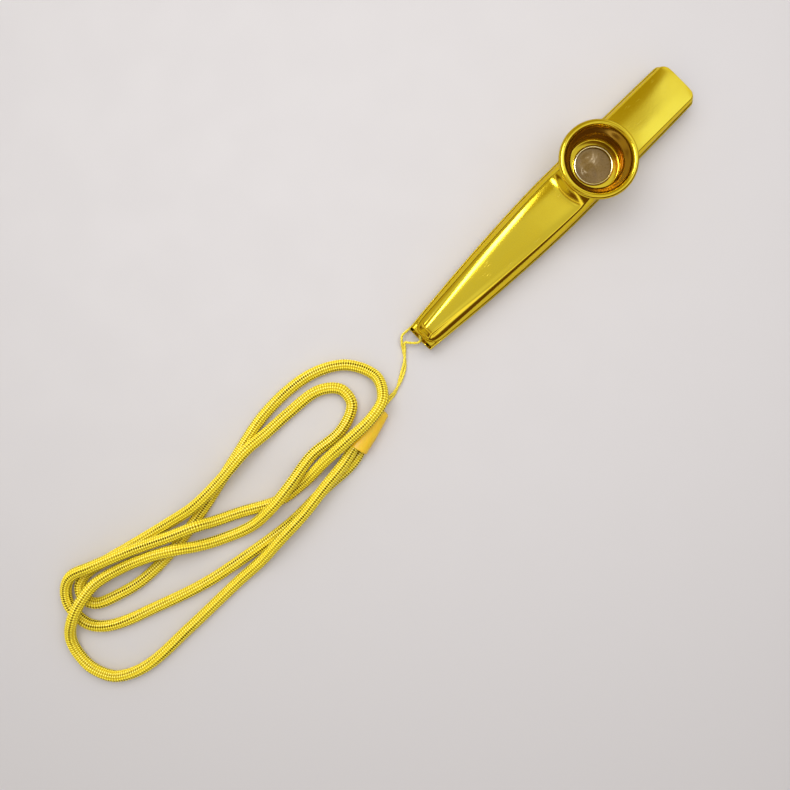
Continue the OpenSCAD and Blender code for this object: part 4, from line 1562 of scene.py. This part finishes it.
cord, cord_path = make_cord(cord_yarn)
finished(cord, cord_yarn, "kazoo_body", "neck_cord")
string, string_path = make_string(string_yarn)
finished(string, string_yarn, "kazoo_body", "string_loop")
sleeve = finished(make_sleeve(), sleeve_finish(), "kazoo_body", "sleeve")

# Kazoo

finished(make_upper_shell(), gold_sheet, "kazoo_body", "upper_shell")
lower_shell = mark_rim(pierce_string_hole(make_lower_shell()))
finished(lower_shell, gold_sheet, "kazoo_body", "lower_shell")
finished(make_cup(), gold_spun, "cup", "cup")
finished(make_socket(), gold_spun, "kazoo_body", "threaded_socket")
finished(make_film(), film_finish(), "membrane_cartridge", "membrane")
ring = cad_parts["membrane_ring"]
ring.data.materials.clear()
ring.data.materials.append(card_finish())

# Floor and light

FLOOR_HALF = 1.5
floor_corners = [(x * FLOOR_HALF, y * FLOOR_HALF, 0) for x, y in ((-1, -1), (1, -1), (1, 1), (-1, 1))]
floor_mesh = bpy.data.meshes.new("floor")
floor_mesh.from_pydata(floor_corners, [], [(0, 1, 2, 3)])
floor = new_object("floor", floor_mesh)
floor.data.materials.append(floor_finish())


def leaning(azimuth, lean):
    """A direction that leans so many degrees from straight up, towards an azimuth from +X."""
    a, b = math.radians(azimuth), math.radians(lean)
    return Vector((math.sin(b) * math.cos(a), math.sin(b) * math.sin(a), math.cos(b)))


def add_light(name, target, direction, distance, size, radiance, colour=(1, 1, 1)):
    """A soft panel of light that faces a target from a direction."""
    data = bpy.data.lights.new(name, "AREA")
    data.shape = "RECTANGLE"
    data.size, data.size_y = size
    data.energy = radiance * math.pi * size[0] * size[1]
    data.color = colour
    light = new_object(name, data)
    light.location = target + direction * distance
    light.rotation_euler = (-direction).to_track_quat("-Z", "Y").to_euler()
    light.visible_camera = False
    return light


PICTURE_MIDDLE = Vector((CAMERA_AT.x, CAMERA_AT.y, 0))
CORD_MIDDLE = Vector((-145, 0, 0)) * MM
window = add_light("window", PICTURE_MIDDLE, leaning(90, 22), distance=1.2, size=(0.55, 0.28), radiance=13)
window.visible_diffuse = False
top_light = add_light("top_light", PICTURE_MIDDLE, leaning(46, 18), distance=0.4, size=(0.5, 0.4),
                      radiance=2.26, colour=(0.98, 1.0, 1.05))
top_light.visible_glossy = False
yarn_light = add_light("yarn_light", CORD_MIDDLE, leaning(92, 58), distance=0.7, size=(0.7, 0.22), radiance=5)
lit = bpy.data.collections.new("yarn")
for piece in (cord, string):
    lit.objects.link(piece)
yarn_light.light_linking.receiver_collection = lit

# The room that the metal mirrors. A band's four leans, in degrees towards +X or +Y, are where it
# starts, is full, is still full and ends
ROOM = (0.68, 0.67, 0.66)
HAZE = (0.52, 0.515, 0.51)
BANDS_X = [
    ((-36, -28, -17, -6), (0.40, 0.28, 0.08)),
    ((-27, -25, -23, -21), (1.2, 1.1, 0.9)),
    ((-64, -58, -36, -29), (0.16, 0.07, 0.012)),
    ((-90, -84, -66, -60), (0.6, 0.5, 0.28)),
    ((-180, -170, -92, -84), (0.16, 0.07, 0.012)),
]
BANDS_Y = [
    ((-180, -170, -54, -46), (0.13, 0.06, 0.015)),
    ((-45, -41, -34, -29), (1.25, 1.2, 1.1)),
    ((50, 58, 76, 84), (0.56, 0.47, 0.18)),
    ((76, 84, 170, 180), (0.22, 0.15, 0.03)),
]
# A patch's azimuth and lean, and how far from there it is full and ends, in degrees
PATCHES = [
    ((0, 21), (5, 14), (0.86, 0.85, 0.87)),
    ((260, 14), (4, 10), (0.84, 0.85, 0.95)),
    ((-17, 42), (15, 23), (1.1, 1.2, 1.8)),
    ((43.8, 38.7), (22.7, 26.5), (0.45, 0.36, 0.06)),
    ((90, 23), (9, 15), (1.1, 1.1, 1.1)),
    ((160, 48), (12, 20), (0.62, 0.52, 0.16)),
    ((0, 72), (18, 30), (0.9, 0.88, 0.8)),
]


def make_room():
    world = bpy.data.worlds.new("room")
    bpy.context.scene.world = world
    world.use_nodes = True
    tree = world.node_tree
    direction = tree.nodes.new("ShaderNodeTexCoord").outputs["Generated"]
    parts = add_node(tree, "ShaderNodeSeparateXYZ", Vector=direction).outputs
    colour = ROOM
    for side, bands in (("X", BANDS_X), ("Y", BANDS_Y)):
        lean = calc(tree, "DEGREES", calc(tree, "ARCTAN2", parts[side], parts["Z"]))
        for (start, full, last, end), band in bands:
            mask = times(tree, ramp(tree, lean, start, full), ramp(tree, lean, end, last))
            colour = mixed(tree, mask, colour, band)
    for place, (inner, outer), patch in PATCHES:
        near = add_node(tree, "ShaderNodeVectorMath", {"operation": "DOT_PRODUCT"}, _0=direction,
                        _1=leaning(*place)).outputs["Value"]
        mask = ramp(tree, near, math.cos(math.radians(outer)), math.cos(math.radians(inner)))
        colour = mixed(tree, mask, colour, patch)
    mirrored = tree.nodes.new("ShaderNodeLightPath").outputs["Is Glossy Ray"]
    give(tree, tree.nodes["Background"].inputs["Color"], mixed(tree, mirrored, HAZE, colour))


make_room()
bpy.context.scene.view_settings.view_transform = "Standard"
